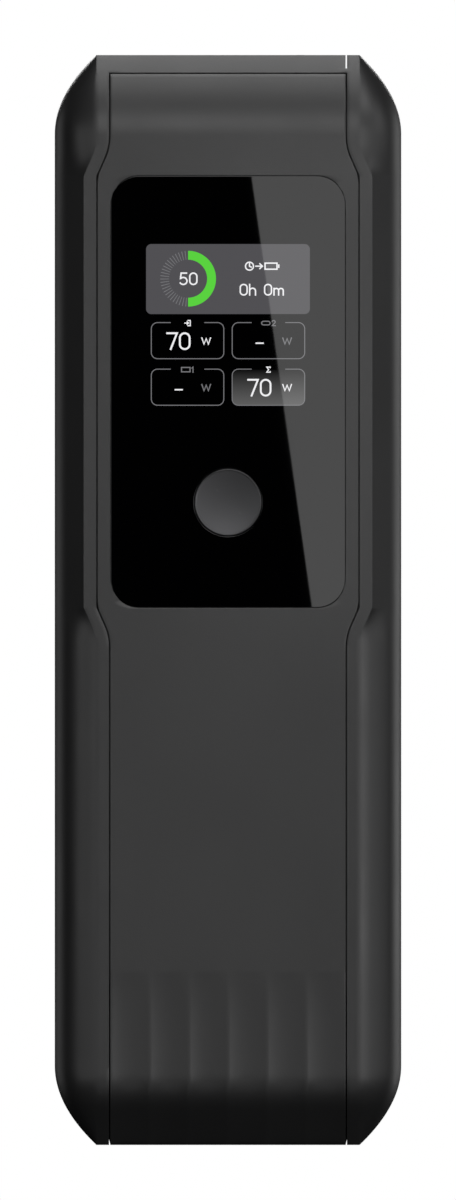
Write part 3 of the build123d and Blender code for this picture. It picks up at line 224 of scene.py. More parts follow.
def laid(shapes, axis, level):
    """Flat grids of two coordinates, laid at a level of the axis that they leave out."""
    return [np.insert(shape, axis, level, axis=-1) for shape in shapes]


def stepped(start, *runs):
    """Levels from a start through runs of (end, steps), each run in even steps."""
    levels = [np.array([start])]
    for end, steps in runs:
        levels.append(np.linspace(levels[-1][-1], end, steps + 1)[1:])
    return np.concatenate(levels)


def new_piece(name, points, faces, body, slot, material, smooth=True):
    """A mesh object from arrays, riding on a body; its slot argument is not used."""
    mesh = bpy.data.meshes.new(name)
    mesh.from_pydata(np.asarray(points).tolist(), [], faces)
    mesh.validate()
    mesh.update()
    obj = bpy.data.objects.new(name, mesh)
    bpy.context.scene.collection.objects.link(obj)
    mesh.materials.append(material)
    mesh.polygons.foreach_set("use_smooth", [smooth] * len(mesh.polygons))
    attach(obj, body)
    return obj


def thicken(obj, thickness):
    """Gives a surface a wall on the side away from its normals."""
    solid = obj.modifiers.new("wall", "SOLIDIFY")
    solid.thickness = thickness
    solid.offset = -1.0


def soften(obj, width, angle=18, segments=2):
    """Rounds every edge that turns by more than the angle and keeps flat faces flat in the shading."""
    bevel = obj.modifiers.new("edges", "BEVEL")
    bevel.width = width
    bevel.segments = segments
    bevel.limit_method = "ANGLE"
    bevel.angle_limit = math.radians(angle)
    bevel.miter_outer = "MITER_ARC"
    normals = obj.modifiers.new("shading", "WEIGHTED_NORMAL")
    normals.keep_sharp = True


def merged_copy(node, name, material, edge):
    """A copy of a CAD node with its triangles merged into flat faces and its edges rounded."""
    source = frame["nodes"][node]
    mesh = source.data.copy()
    mesh.materials.clear()
    work = bmesh.new()
    work.from_mesh(mesh)
    bmesh.ops.remove_doubles(work, verts=work.verts, dist=1e-6)
    bmesh.ops.dissolve_limit(work, angle_limit=math.radians(1), verts=work.verts, edges=work.edges)
    work.to_mesh(mesh)
    work.free()
    stored_normals = mesh.attributes.get("custom_normal")
    if stored_normals:
        mesh.attributes.remove(stored_normals)
    mesh.polygons.foreach_set("use_smooth", [True] * len(mesh.polygons))
    obj = bpy.data.objects.new(name, mesh)
    bpy.context.scene.collection.objects.link(obj)
    mesh.materials.append(material)
    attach(obj, BODY)
    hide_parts(node)
    soften(obj, edge, angle=30)


# --- the body's form -----------------------------------------------------------------------------------
def lean(z):
    """How far the sides have leaned in: the end inset times the square of the share of the end's rise."""
    s = bpy.context.scene.charger_body
    into_end = np.maximum(np.maximum(s.end_rise - z, z - (HEIGHT - s.end_rise)), 0)
    return s.end_inset * (into_end / s.end_rise) ** 2


def shoulder_width():
    """How much wider the front face is beside the display: where the ramp's line meets the face."""
    s = bpy.context.scene.charger_body
    deep = s.shoulder_lift * s.corner_depth
    t = s.shoulder_split
    slope = s.end_inset * (1 - t) / (deep + t * (s.corner_depth - 2 * deep))
    return s.end_inset * t - deep * t * slope


def arc_and_line(run, length, reach, angle):
    """An arc that starts level and runs on as a straight line at an angle: its height after each run.

    The arc's radius makes it reach the given height at the given length."""
    radius = (length * math.tan(angle) - reach) / (math.tan(angle) * math.sin(angle) - 1 + math.cos(angle))
    turn = np.minimum(run, radius * math.sin(angle))
    return radius - np.sqrt(radius**2 - turn**2) + (run - turn) * math.tan(angle)


def widening(z):
    """0 where the body has its full rounding, 1 beside the display: an arc and then a straight line."""
    s = bpy.context.scene.charger_body
    into_blend = np.maximum(np.maximum(LENS_LOW[2] - z, z - LENS_HIGH[2]), 0)
    left = np.maximum(s.shoulder_rise - into_blend, 0)
    return arc_and_line(left, s.shoulder_rise, shoulder_width(), s.shoulder_angle) / shoulder_width()


def face_y(z):
    """The front face's place in Y at height z, without flutes.

    It leans in as the sides do at the top, and by an arc and a straight line at the foot."""
    s = bpy.context.scene.charger_body
    foot = arc_and_line(np.maximum(s.face_rise - z, 0), s.face_rise, s.end_inset, s.face_angle)
    return -HALF_DEPTH + np.where(z < HEIGHT / 2, foot, lean(z))


def along(a, b, steps):
    """Points from a to b for every row: a plus its share of the way to b, the first point left out."""
    share = np.linspace(0, 1, steps + 1)[1:, None]
    return a[:, None, :] * (1 - share) + b[:, None, :] * share


def quadratic(a, b, c, steps):
    """Points of a quadratic curve for every row: (1-t)^2 a + 2t(1-t) b + t^2 c, the first point left out."""
    t = np.linspace(0, 1, steps + 1)[1:, None]
    return a[:, None, :] * (1 - t) ** 2 + b[:, None, :] * 2 * t * (1 - t) + c[:, None, :] * t**2


def rounded_reach(direction, half_x, half_y, corner):
    """Where a ray from the centre meets a rounded rectangle.

    That is on the nearer straight side, or else on the corner's circle."""
    d = np.abs(direction) / np.linalg.norm(direction, axis=-1, keepdims=True)
    reach = np.minimum(half_x / np.maximum(d[..., 0], 1e-12), half_y / np.maximum(d[..., 1], 1e-12))
    point = d * reach[..., None]
    centre = np.array([half_x - corner, half_y - corner])
    b = d @ centre
    on_arc = b + np.sqrt(np.maximum(b**2 - (centre @ centre - corner**2), 0))
    in_corner = (point[..., 0] > centre[0]) & (point[..., 1] > centre[1])
    reach = np.where(in_corner, on_arc, reach)
    return direction / np.linalg.norm(direction, axis=-1, keepdims=True) * reach[..., None]


STRIP_STEPS = 3
RAMP_STEPS = 8
ROUND_STEPS = 14
SIDE_STEPS = 6
FACE_STEPS = 10


def rounding(edge, end, side, front, lift):
    """Points of two quadratic curves that meet smoothly, from the face to the side, at every height."""
    s = bpy.context.scene.charger_body
    side_flat = HALF_DEPTH - s.corner_depth
    bend = np.stack([side, -front + lift * (front - side_flat)], axis=-1)
    t = s.shoulder_split
    first, last = edge + (bend - edge) * t, bend + (end - bend) * t
    return [edge, first, first + (last - first) * t, last, end]


def casing_columns(z, wide, seam_half):
    """Half the outline at every height: pocket, strip, ramp, rounding and side, up to the parting line.

    The pocket's floor lies behind the face and ends at the seam, with its own column one seam's width inside.
    Beside the display the rounding's points move to those of the ramp, which starts further out."""
    s = bpy.context.scene.charger_body
    side, front = HALF_WIDTH - lean(z), -face_y(z)
    crease = np.full_like(z, HALF_WIDTH - s.end_inset)
    side_flat = HALF_DEPTH - s.corner_depth
    share = widening(z)[:, None] if wide else np.zeros((len(z), 1))
    edge = np.stack([crease, -front], axis=-1)
    end = np.stack([side, np.full_like(z, -side_flat)], axis=-1)
    plain = rounding(edge, end, side, front, s.corner_lift)
    ramp = rounding(edge, end, side, front, s.shoulder_lift)
    ramp[0] = edge + np.array([shoulder_width(), 0])
    ramp[1] = (ramp[0] + ramp[2]) / 2
    start, control, split, last, end = (a + (b - a) * share for a, b in zip(plain, ramp))
    seam = np.stack([seam_half, -front], axis=-1)
    floor = -front + s.pocket
    middle = np.stack([np.zeros_like(z), floor], axis=-1)
    inner = np.stack([seam_half - s.seam, floor], axis=-1)
    corner = np.stack([seam_half, floor], axis=-1)
    parting = np.stack([side, np.full_like(z, -s.parting / 2)], axis=-1)
    return np.concatenate(
        [
            middle[:, None, :],
            along(middle, inner, FACE_STEPS),
            corner[:, None, :],
            seam[:, None, :],
            along(seam, start, STRIP_STEPS),
            quadratic(start, control, split, RAMP_STEPS),
            quadratic(split, last, end, ROUND_STEPS),
            along(end, parting, SIDE_STEPS),
        ],
        axis=1,
    )


def casing_rows(top_seam):
    """Heights of the casing's rows: close together over the curved ends and the shoulders."""
    s = bpy.context.scene.charger_body
    low, high = LENS_LOW[2], LENS_HIGH[2]
    return stepped(
        0.0,
        (s.slot_foot, 3),
        (s.end_rise, 20),
        (low - s.shoulder_rise, 14),
        (low, 14),
        (high, 14),
        (high + s.shoulder_rise, 14),
        (HEIGHT - s.end_rise, 1),
        (top_seam, 17),
        (HEIGHT - s.slot_head, 2),
        (HEIGHT, 4),
    )


def end_ring(edge, level, seam_half):
    """The flat ring at an end, from the outline in to the cap's opening, as four rows after the outline's own.

    Beyond the seam the first two rows are the two straight lines of the slot, which runs front to back. Their
    places in Y start at the outline's corner, then at the pocket's floor, and go evenly to the parting line."""
    s = bpy.context.scene.charger_body
    seam_column = FACE_STEPS + 2
    beyond = edge.shape[0] - seam_column
    floor, parting = edge[0, 1], edge[-1, 1]
    onward = np.linspace(edge[seam_column - 1, 1], parting, beyond - 1)
    line_y = np.concatenate([[edge[seam_column, 1]], onward])
    outer, inner = edge.copy(), edge.copy()
    outer[seam_column:] = np.stack([np.full(beyond, seam_half), line_y], axis=-1)
    inner[seam_column:] = np.stack([np.full(beyond, seam_half - s.seam), np.maximum(line_y, floor)], axis=-1)
    inner[seam_column - 1] = (seam_half - s.seam, floor)
    opening = (float(CAP_HIGH[0]) + s.cap_gap, float(CAP_HIGH[1]) + s.cap_gap, s.cap_corner + s.cap_gap)
    hole = rounded_reach(inner, *opening)
    rows = np.stack([outer, inner, (inner + hole) / 2, hole])
    return np.concatenate([rows, np.full(rows.shape[:2] + (1,), level)], axis=-1)


def casing_surface(wide, slot_side):
    """Points and a face mask of one casing half, facing -Y: base ring, walls and top ring in one grid.

    Rows run from the base cap's opening out to the edge, up the outside and in to the top cap's opening.
    Above the top seam the pocket's columns come forward to the face. The mask opens the slots beside the
    panels: both at the base and one, on the given side, at the top."""
    s = bpy.context.scene.charger_body
    panel_half = float(REAR_PANEL_HIGH[0])
    top_seam = float(PANEL_HIGH[2]) + s.seam
    z = casing_rows(top_seam)
    spread = widening(z) * shoulder_width() if wide else 0 * z
    outline = casing_columns(z, wide, panel_half + s.seam + spread)
    columns = outline.shape[1]
    seam_row = int(np.argmin(np.abs(z - top_seam)))
    head = outline[seam_row:].copy()
    head[:, : FACE_STEPS + 2, 1] = face_y(z[seam_row:])[:, None]
    outline = np.concatenate([outline[: seam_row + 1], head])
    z = np.concatenate([z[: seam_row + 1], z[seam_row:]])
    walls = np.concatenate([outline, np.broadcast_to(z[:, None, None], (len(z), columns, 1))], axis=-1)
    base = end_ring(outline[0], 0.0, panel_half + s.seam)[::-1]
    top = end_ring(outline[-1], HEIGHT, panel_half + s.seam)
    right = np.concatenate([base, walls, top])
    keep = np.ones((right.shape[0] - 1, columns - 1), bool)
    slot_column = FACE_STEPS
    base_rows = len(base) + int(np.argmin(np.abs(z - s.slot_foot)))
    keep[2:base_rows, slot_column] = False
    keep[2, slot_column:] = False
    slotted = keep.copy()
    first = len(base) + int(np.argmin(np.abs(z - (HEIGHT - s.slot_head))))
    last = len(base) + len(z) - 1
    slotted[first:last, slot_column : slot_column + 2] = False
    slotted[last + 1, slot_column:] = False
    masks = (slotted, keep) if slot_side > 0 else (keep, slotted)
    left = right[:, :0:-1] * np.array([-1, 1, 1])
    points = np.concatenate([left, right], axis=1)
    return points, np.concatenate([masks[1][:, ::-1], masks[0]], axis=1)


def half_turn(points):
    """The same points turned half a turn about Z."""
    return points * np.array([-1, -1, 1])


def make_casing(name, node, wide, rear):
    """One casing half as a shell with rounded edges."""
    s = bpy.context.scene.charger_body
    points, keep = casing_surface(wide, -1 if rear else 1)
    if rear:
        points = half_turn(points)
    plastic = moulded_plastic("casing plastic", "casing")
    obj = new_piece(name, *weld([(points, keep)]), BODY, "housing_plastic", plastic)
    thicken(obj, s.skin)
    soften(obj, s.edge)
    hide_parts(node)


# --- panels --------------------------------------------------------------------------------------------
def flute(x, z):
    """How far the face lies back in a flute.

    A parabola across the flute, times 1 less a power of the share of its height."""
    s = bpy.context.scene.charger_body
    panel_half = float(REAR_PANEL_HIGH[0])
    pitch = 2 * panel_half / s.flute_count
    u = np.mod((x + panel_half) / pitch, 1.0)
    return 4 * s.flute_depth * u * (1 - u) * (1 - np.clip(z / s.flute_rise, 0, 1) ** s.flute_fade)


def panel_half_width(z, wide):
    """Half the panel's width at height z."""
    return float(REAR_PANEL_HIGH[0]) + (widening(z) * shoulder_width() if wide else 0 * z)


def panel_points(x, z):
    """The panel's face over x and z, with the flutes and their scalloped lower edge."""
    s = bpy.context.scene.charger_body
    y = face_y(z) + flute(x, z)
    raised = s.scallop * flute(x, 0 * z) / s.flute_depth * np.clip(1 - z / s.scallop / 4, 0, 1)
    return np.stack([x, y, z + raised], axis=-1)


PANEL_COLUMNS = 96
PANEL_SIDE_ROWS = 48


def panel_sheet(z, wide):
    """A plain stretch of panel: x is the half width times -1 to 1."""
    across = np.linspace(-1, 1, PANEL_COLUMNS + 1)
    x = panel_half_width(z, wide)[:, None] * across
    return panel_points(x, np.broadcast_to(z[:, None], x.shape))


def rounded_edge(share, half, other, corner):
    """A rounded rectangle's side over -1 to 1, from the middle of one corner to the middle of the next.

    Returns the place along the side and the place across it, which drops along the corner's circle."""
    reach = half - corner * (1 - math.sqrt(0.5))
    u = share * reach
    over = np.maximum(np.abs(u) - (half - corner), 0)
    return u, other - corner + np.sqrt(corner**2 - over**2)


def panel_ring(low, high):
    """The panel round the lens's pocket: four grids from the pocket's edge to the ring's outer edge."""
    s = bpy.context.scene.charger_body
    half_x = float(LENS_HIGH[0]) + s.lens_gap
    half_z = float(LENS_HIGH[2] - LENS_LOW[2]) / 2 + s.lens_gap
    middle = float(LENS_HIGH[2] + LENS_LOW[2]) / 2
    corner = s.lens_corner + s.lens_gap
    shares = np.linspace(0, 1, 4)[:, None]
    across = np.linspace(-1, 1, PANEL_COLUMNS + 1)
    upright = np.linspace(-1, 1, PANEL_SIDE_ROWS + 1)
    grids = []
    for sign, level in ((-1, low), (1, high)):
        u, v = rounded_edge(across, half_x, half_z, corner)
        outer_x = panel_half_width(np.array([level]), True) * across
        x = u * (1 - shares) + outer_x * shares
        z = (middle + sign * v) * (1 - shares) + level * shares
        grid = panel_points(x, z)
        grids.append(grid if sign > 0 else grid[:, ::-1])
    for sign in (-1, 1):
        u, v = rounded_edge(upright, half_z, half_x, corner)
        outer_z = (low + high) / 2 + upright * (high - low) / 2
        outer_x = panel_half_width(outer_z, True)
        x = sign * (v * (1 - shares) + outer_x * shares)
        z = (middle + u) * (1 - shares) + outer_z * shares
        grid = panel_points(x, z)
        grids.append(grid if sign < 0 else grid[:, ::-1])
    return grids


def facing(grids, direction):
    """Turns round each grid whose first faces look away from the direction."""
    turned = []
    for grid in grids:
        normal = np.cross(grid[0, 1] - grid[0, 0], grid[1, 0] - grid[0, 0])
        turned.append(grid if normal @ direction > 0 else grid[:, ::-1])
    return turned


def make_panel(name, node, wide, rear):
    """A face panel as a thin shell; the front one has the pocket for the lens."""
    s = bpy.context.scene.charger_body
    top = float(PANEL_HIGH[2])
    margin = 0.5 * MM
    low, high = float(LENS_LOW[2]) - margin, float(LENS_HIGH[2]) + margin
    below = stepped(0.0, (s.flute_rise, 44), (low - s.shoulder_rise, 10), (low, 14))
    above = stepped(high, (HEIGHT - s.end_rise, 12), (top, 16))
    if wide:
        grids = [panel_sheet(below, True), panel_sheet(above, True)] + panel_ring(low, high)
    else:
        grids = [panel_sheet(np.concatenate([below, above]), False)]
    grids = facing(grids, np.array([0, -1, 0]))
    if rear:
        grids = [half_turn(grid) for grid in grids]
    obj = new_piece(name, *weld(grids), BODY, "panel_plastic", moulded_plastic("panel plastic", "panel"))
    thicken(obj, s.panel_wall)
    soften(obj, s.edge * 0.8, angle=28)
    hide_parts(node)


# --- lens, read-outs and button ------------------------------------------------------------------------
def make_lens():
    """The black lens with rounded edges."""
    merged_copy("display_lens", "lens", lens_black(), 0.06 * MM)


INK = 0.012 * MM


def make_flat(name, shapes, material, layer=0):
    """Flat shapes on the lens: grids of (x, z) places, laid on the face and given the ink's thickness."""
    grids = facing(laid(shapes, 1, LENS_FACE - (layer + 1) * INK), np.array([0, -1, 0]))
    obj = new_piece(name, *apart(grids), BODY, "screen", material, smooth=False)
    thicken(obj, INK * 0.98)


CORNER_STEPS = 10


def outline_points(half_x, half_z, corner, start=0.0):
    """A rounded rectangle's outline, clockwise from its top edge: four arcs joined by straight lines."""
    turn = np.linspace(0, math.pi / 2, CORNER_STEPS + 1)
    quarter = np.stack([np.sin(turn), np.cos(turn)], axis=-1) * corner
    middle = np.array([half_x - corner, half_z - corner])
    first = middle + quarter
    second = (middle + quarter[::-1]) * [1, -1]
    right = np.concatenate([[[start, half_z]], first, second])
    return np.concatenate([right, right[::-1] * [-1, 1]])


def disc_sheet(centre, half_x, half_z, corner):
    """A filled rounded rectangle: rings from its centre to its outline."""
    outline = outline_points(half_x, half_z, corner)
    shares = np.linspace(0, 1, 4)[:, None, None]
    return np.asarray(centre) + outline[None] * shares


def frame_line(centre, half_x, half_z, corner, width, gap):
    """A rounded rectangle's outline as a band, open along its top by a gap to each side of the middle."""
    outer = outline_points(half_x, half_z, corner, gap)
    inner = outline_points(half_x - width, half_z - width, corner - width, gap)
    return np.asarray(centre) + np.stack([inner, outer])


def arc_band(centre, inner, outer, start, stop, steps=64):
    """A band of a ring between two angles, in turns clockwise from the top."""
    angle = math.pi / 2 - 2 * math.pi * np.linspace(start, stop, steps + 1)
    direction = np.stack([np.cos(angle), np.sin(angle)], axis=-1)
    return np.asarray(centre) + np.stack([direction * inner, direction * outer])


def stroke(points, width):
    """A line with width: each point moves half the width along the line's normal, both ways."""
    points = np.asarray(points, float)
    step = np.diff(points, axis=0)
    step = step / np.maximum(np.linalg.norm(step, axis=1, keepdims=True), 1e-12)
    before, after = np.vstack([step[:1], step]), np.vstack([step, step[-1:]])
    closed = np.allclose(points[0], points[-1])
    if closed:
        before[0], after[-1] = step[-1], step[0]
    tangent = before + after
    tangent = tangent / np.linalg.norm(tangent, axis=1, keepdims=True)
    normal = np.stack([-tangent[:, 1], tangent[:, 0]], axis=-1)
    grow = 1 / np.maximum((normal * np.stack([-before[:, 1], before[:, 0]], axis=-1)).sum(axis=1), 0.5)
    shift = normal * (grow * width / 2)[:, None]
    if not closed:
        points = points.copy()
        points[0] -= step[0] * width / 2
        points[-1] += step[-1] * width / 2
    return np.stack([points - shift, points + shift])


def arc(cx, cy, rx, ry, start, stop, steps=20):
    """Points of an ellipse's arc; angles are in degrees, anticlockwise from +X."""
    angle = np.radians(np.linspace(start, stop, steps + 1))
    return np.stack([cx + rx * np.cos(angle), cy + ry * np.sin(angle)], axis=-1)


def ring(ends):
    """A closed line through all the ends' points."""
    return np.vstack(ends + [ends[0][:1]])


# each sign: its lines in a box one unit high, and the box's width
SIGNS = {
    "0": ([ring([arc(0.3, 0.7, 0.28, 0.3, 0, 180), arc(0.3, 0.3, 0.28, 0.3, 180, 360)])], 0.6),
    "1": ([[[0.02, 0.8], [0.2, 1.0], [0.2, 0.0]]], 0.3),
    "2": ([np.vstack([arc(0.3, 0.72, 0.27, 0.28, 165, -35), [[0.03, 0.0], [0.6, 0.0]]])], 0.6),
    "3": ([np.vstack([arc(0.28, 0.75, 0.24, 0.25, 150, -90), arc(0.28, 0.25, 0.28, 0.25, 90, -150)])], 0.58),
    "5": ([np.vstack([[[0.54, 1.0], [0.12, 1.0], [0.07, 0.53]], arc(0.29, 0.31, 0.29, 0.31, 130, -145)])], 0.6),
    "7": ([[[0.0, 1.0], [0.56, 1.0], [0.2, 0.0]]], 0.56),
    "W": ([[[0.0, 1.0], [0.22, 0.0], [0.45, 0.9], [0.68, 0.0], [0.9, 1.0]]], 0.9),
    "h": (
        [[[0.0, 1.0], [0.0, 0.0]], np.vstack([arc(0.24, 0.38, 0.24, 0.26, 180, 0), [[0.48, 0.0]]])],
        0.48,
    ),
    "m": (
        [
            [[0.0, 0.62], [0.0, 0.0]],
            np.vstack([arc(0.19, 0.42, 0.19, 0.2, 180, 0), [[0.38, 0.0]]]),
            np.vstack([arc(0.19, 0.42, 0.19, 0.2, 180, 0), [[0.38, 0.0]]]) + [0.38, 0.0],
        ],
        0.76,
    ),
    "sum": ([[[0.6, 0.88], [0.6, 1.0], [0.0, 1.0], [0.34, 0.5], [0.0, 0.0], [0.6, 0.0], [0.6, 0.12]]], 0.6),
    "in": (
        [
            [[0.55, 1.0], [0.95, 1.0], [0.95, 0.0], [0.55, 0.0]],
            [[0.0, 0.5], [0.62, 0.5]],
            [[0.4, 0.74], [0.64, 0.5], [0.4, 0.26]],
        ],
        0.95,
    ),
    "clock": ([arc(0.5, 0.5, 0.5, 0.5, 0, 360, 32), [[0.5, 0.82], [0.5, 0.5], [0.72, 0.38]]], 1.0),
    "arrow": ([[[0.0, 0.5], [0.8, 0.5]], [[0.5, 0.8], [0.82, 0.5], [0.5, 0.2]]], 0.85),
    "oval": ([ring([arc(1.15, 0.5, 0.35, 0.35, 90, -90, 8), arc(0.35, 0.5, 0.35, 0.35, 270, 90, 8)])], 1.5),
    "slot": ([[[0.0, 0.08], [1.5, 0.08], [1.5, 0.92], [0.0, 0.92], [0.0, 0.08]]], 1.5),
    "cell": (
        [
            [[0.0, 0.12], [1.5, 0.12], [1.5, 0.88], [0.0, 0.88], [0.0, 0.12]],
            [[1.72, 0.36], [1.72, 0.64]],
        ],
        1.75,
    ),
    " ": ([], 0.35),
}

# each kind of writing: its place right of and above its anchor, its height and its lines' width, all in
# millimetres, then the space after a sign as a share of the height, and how much wider it is made
WRITING = {
    "charge": (0.04, -0.82, 1.62, 0.21, 0.2, 1.12),
    "icons": (2.5, 1.22, 1.14, 0.19, 0.3, 1.0),
    "time": (1.72, -2.32, 1.5, 0.2, 0.22, 1.16),
    "label": (0.0, -0.5, 0.74, 0.15, 0.35, 1.1),
    "unit": (2.05, -0.5, 0.88, 0.17, 0.2, 1.55),
    "power": (-2.9, -1.2, 2.26, 0.26, 0.16, 1.1),
    "socket": (10.4, -0.7, 1.4, 0.17, 0.16, 1.0),
}


def sign_row(signs, left, base, kind):
    """Bands of a row of signs from a left end and a base line, and the row's right end."""
    height, line = WRITING[kind][2] * MM, WRITING[kind][3] * MM
    spacing, stretch = WRITING[kind][4:]
    shapes, x = [], left
    for sign in signs:
        lines, width = SIGNS[sign]
        for points in lines:
            shapes.append(stroke(np.asarray(points) * [height * stretch, height] + [x, base], line))
        x += (width * stretch + spacing) * height
    return shapes, x - spacing * height


def write(signs, anchor, kind, centred=False):
    """Bands of a row of signs at its place from an anchor: its left end there, or else its middle."""
    left, base = anchor[0] + WRITING[kind][0] * MM, anchor[1] + WRITING[kind][1] * MM
    if centred:
        left -= sign_row(signs, 0, base, kind)[1] / 2
    return sign_row(signs, left, base, kind)[0]


SCREEN_RISE = 25.2 * MM  # from the button's axis up to the middle of the lit part
SCREEN_HALF = 11.7 * MM
CARD_HALF = 5.0 * MM
CARD_CORNER = 0.75 * MM
GAUGE_PLACE = (-5.7 * MM, -4.95 * MM)  # from the middle of the lit part's top edge
GAUGE_INNER, GAUGE_OUTER = 2.72 * MM, 3.98 * MM
TICK_COUNT = 25
TICK_LEAD, TICK_STEPS = 0.7, 25.6  # steps before the first tick, and in the whole half turn
TICK_HALF = 0.0024  # turns
BOX_HALF = (5.24 * MM, 2.64 * MM)
BOX_X = 5.78 * MM
BOX_DROPS = (13.8 * MM, 20.45 * MM)  # from the lit part's top edge down to each row's middle
BOX_LINE = 0.12 * MM
BOX_CORNER, FILL_CORNER = 0.95 * MM, 0.85 * MM
BOX_OPENING = 2.4 * MM
DASH = np.array([[-1.74, -0.36], [-0.78, -0.36]]) * MM
DASH_LINE = 0.2 * MM


def make_gauge(card, gauge):
    """The pale card, the charge ring's lit half and the ticks of its other half."""
    c = bpy.context.scene.charger_colours
    sheet = disc_sheet(card, SCREEN_HALF, CARD_HALF, CARD_CORNER)
    make_flat("screen_card", [sheet], lit("screen card", c.card))
    band = arc_band(gauge, GAUGE_INNER, GAUGE_OUTER, 0.0, 0.5)
    make_flat("charge_band", [band], lit("charge green", c.charge), layer=1)
    ticks = []
    for i in range(TICK_COUNT):
        turn = 0.5 + (i + TICK_LEAD) / TICK_STEPS * 0.5
        ticks.append(arc_band(gauge, GAUGE_INNER, GAUGE_OUTER, turn - TICK_HALF, turn + TICK_HALF, steps=2))
    make_flat("charge_ticks", ticks, lit("tick grey", c.tick), layer=1)


def make_readouts():
    """Everything that the screen shows, as flat lit shapes on the lens."""
    c = bpy.context.scene.charger_colours
    top = BUTTON_Z + SCREEN_RISE + SCREEN_HALF
    gauge = (GAUGE_PLACE[0], top + GAUGE_PLACE[1])
    make_gauge((0.0, top - CARD_HALF), gauge)

    bright = write("50", gauge, "charge", centred=True)
    bright += write(["clock", "arrow", "cell"], (0.0, gauge[1]), "icons")
    bright += write("0h 0m", (0.0, gauge[1]), "time")
    faint, outlines = [], []
    places = [(side * BOX_X, top - drop) for drop in BOX_DROPS for side in (-1, 1)]
    for place, label in zip(places, (["in"], ["oval", "2"], ["slot", "1"], ["sum"])):
        outlines.append(frame_line(place, *BOX_HALF, BOX_CORNER, BOX_LINE, BOX_OPENING))
        signs = write(label, (place[0], place[1] + BOX_HALF[1]), "label", centred=True)
        (bright if len(label) == 1 else faint).extend(signs)
    make_flat("box_outlines", outlines, lit("outline grey", c.faint))
    total = places[-1]
    fill = disc_sheet(total, BOX_HALF[0] - BOX_LINE, BOX_HALF[1] - BOX_LINE, FILL_CORNER)
    make_flat("total_fill", [fill], lit_gradient(total[1] - BOX_HALF[1], total[1] + BOX_HALF[1]))

    for place, value in zip(places, ("70", None, None, "70")):
        unit = write("W", place, "unit")
        if value:
            bright += write(value, place, "power") + unit
        else:
            faint += unit
            bright.append(stroke(np.array(place) + DASH, DASH_LINE))
    make_flat("lit_digits", bright, lit("digit white", c.digit), layer=2)
    make_flat("idle_marks", faint, lit("outline grey", c.faint), layer=2)


BUTTON_RADIUS = 4.8 * MM
BUTTON_DISH = 0.35 * MM
BUTTON_EDGE = 0.16 * MM
FLANGE_INSET = 1.4 * MM
FLANGE_THICKNESS = 0.8 * MM


def make_button():
    """The button turned about its axis: dish, rim, side wall and retaining flange.

    The dish is part of a ball whose radius is (radius squared plus depth squared) over twice the depth."""
    face = float(BUTTON_LOW[1])
    ball = (BUTTON_RADIUS**2 + BUTTON_DISH**2) / (2 * BUTTON_DISH)
    flange_radius = float(BUTTON_HIGH[0])
    flange_front = LENS_FACE + FLANGE_INSET
    flange_back = flange_front + FLANGE_THICKNESS
    r = np.linspace(0, BUTTON_RADIUS - BUTTON_EDGE * 1.5, 26)
    y = np.maximum(face + np.sqrt(ball**2 - r**2) - (ball - BUTTON_DISH), face)
    turn = np.linspace(0, math.pi / 2, 7)
    crown_r = BUTTON_RADIUS - BUTTON_EDGE + BUTTON_EDGE * np.sin(turn)
    crown_y = face + BUTTON_EDGE * (1 - np.cos(turn))
    inner_r = np.linspace(r[-1], crown_r[0], 4)[1:-1]
    inner_y = np.linspace(y[-1], crown_y[0], 4)[1:-1]
    profile_r = np.concatenate([r, inner_r, crown_r, [BUTTON_RADIUS, flange_radius, flange_radius, 0]])
    profile_y = np.concatenate([y, inner_y, crown_y, [flange_front, flange_front, flange_back, flange_back]])
    angle = np.linspace(0, 2 * math.pi, 129)[:, None]
    angle[-1] = 0
    x = profile_r * np.cos(angle)
    z = BUTTON_Z + profile_r * np.sin(angle)
    grid = np.stack([x, np.broadcast_to(profile_y, x.shape), z], axis=-1)
    obj = new_piece("button_cap", *weld([grid]), BUTTON_BODY, "button_metal", anodised())
    soften(obj, 0.05 * MM, angle=40)
    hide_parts("power_button")


# --- caps and sockets ----------------------------------------------------------------------------------
def make_caps():
    """The two end caps and the printed socket numbers."""
    plastic = moulded_plastic("cap plastic", "cap")
    for source, name in (("port_cap", "top_cap"), ("base_cap", "bottom_cap")):
        merged_copy(source, name, plastic, 0.12 * MM)
    shapes = []
    for number, shell in zip("123", ("usb_c_shell_1", "usb_c_shell_2", "usb_a_shell")):
        low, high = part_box(shell)
        shapes += write(number, (0.0, float(low[1] + high[1]) / 2), "socket", centred=True)
    grids = facing(laid(shapes, 2, HEIGHT + INK), np.array([0, 0, 1]))
    numbers = new_piece("socket_numbers", *apart(grids), BODY, "cap_plastic", print_grey(), smooth=False)
    thicken(numbers, INK)


CONTACT_ROWS = 13


def contact_strip(x, y, width, low, high, side):
    """A thin gold contact that stands on a tongue: a strip bent a little outwards in its middle.

    Its rise is a step plus a bow times the square of a half wave's sine."""
    z = np.linspace(low, high, CONTACT_ROWS)
    rise = 0.05 * MM + 0.12 * MM * np.sin(np.linspace(0, math.pi, CONTACT_ROWS)) ** 2
    across = np.array([-0.5, -0.35, 0.35, 0.5]) * width
    crown = np.array([0.4, 1.0, 1.0, 0.4])
    px = np.broadcast_to(x + across, (CONTACT_ROWS, 4))
    py = y + side * rise[:, None] * crown
    strip = np.stack([px, py, np.broadcast_to(z[:, None], px.shape)], axis=-1)
    return facing([strip], np.array([0, side, 0]))[0]


C_CONTACTS, C_PITCH, C_WIDTH = 12, 0.5 * MM, 0.26 * MM
C_OFFSET, C_START, C_END = 0.33 * MM, 4.5 * MM, 0.5 * MM
A_CONTACTS, A_PITCH, A_WIDTH = 4, 2.2 * MM, 1.1 * MM
A_PLACE, A_START, A_END = 9 * MM + 1.1 * MM - 0.9 * MM, 7 * MM, 1.2 * MM


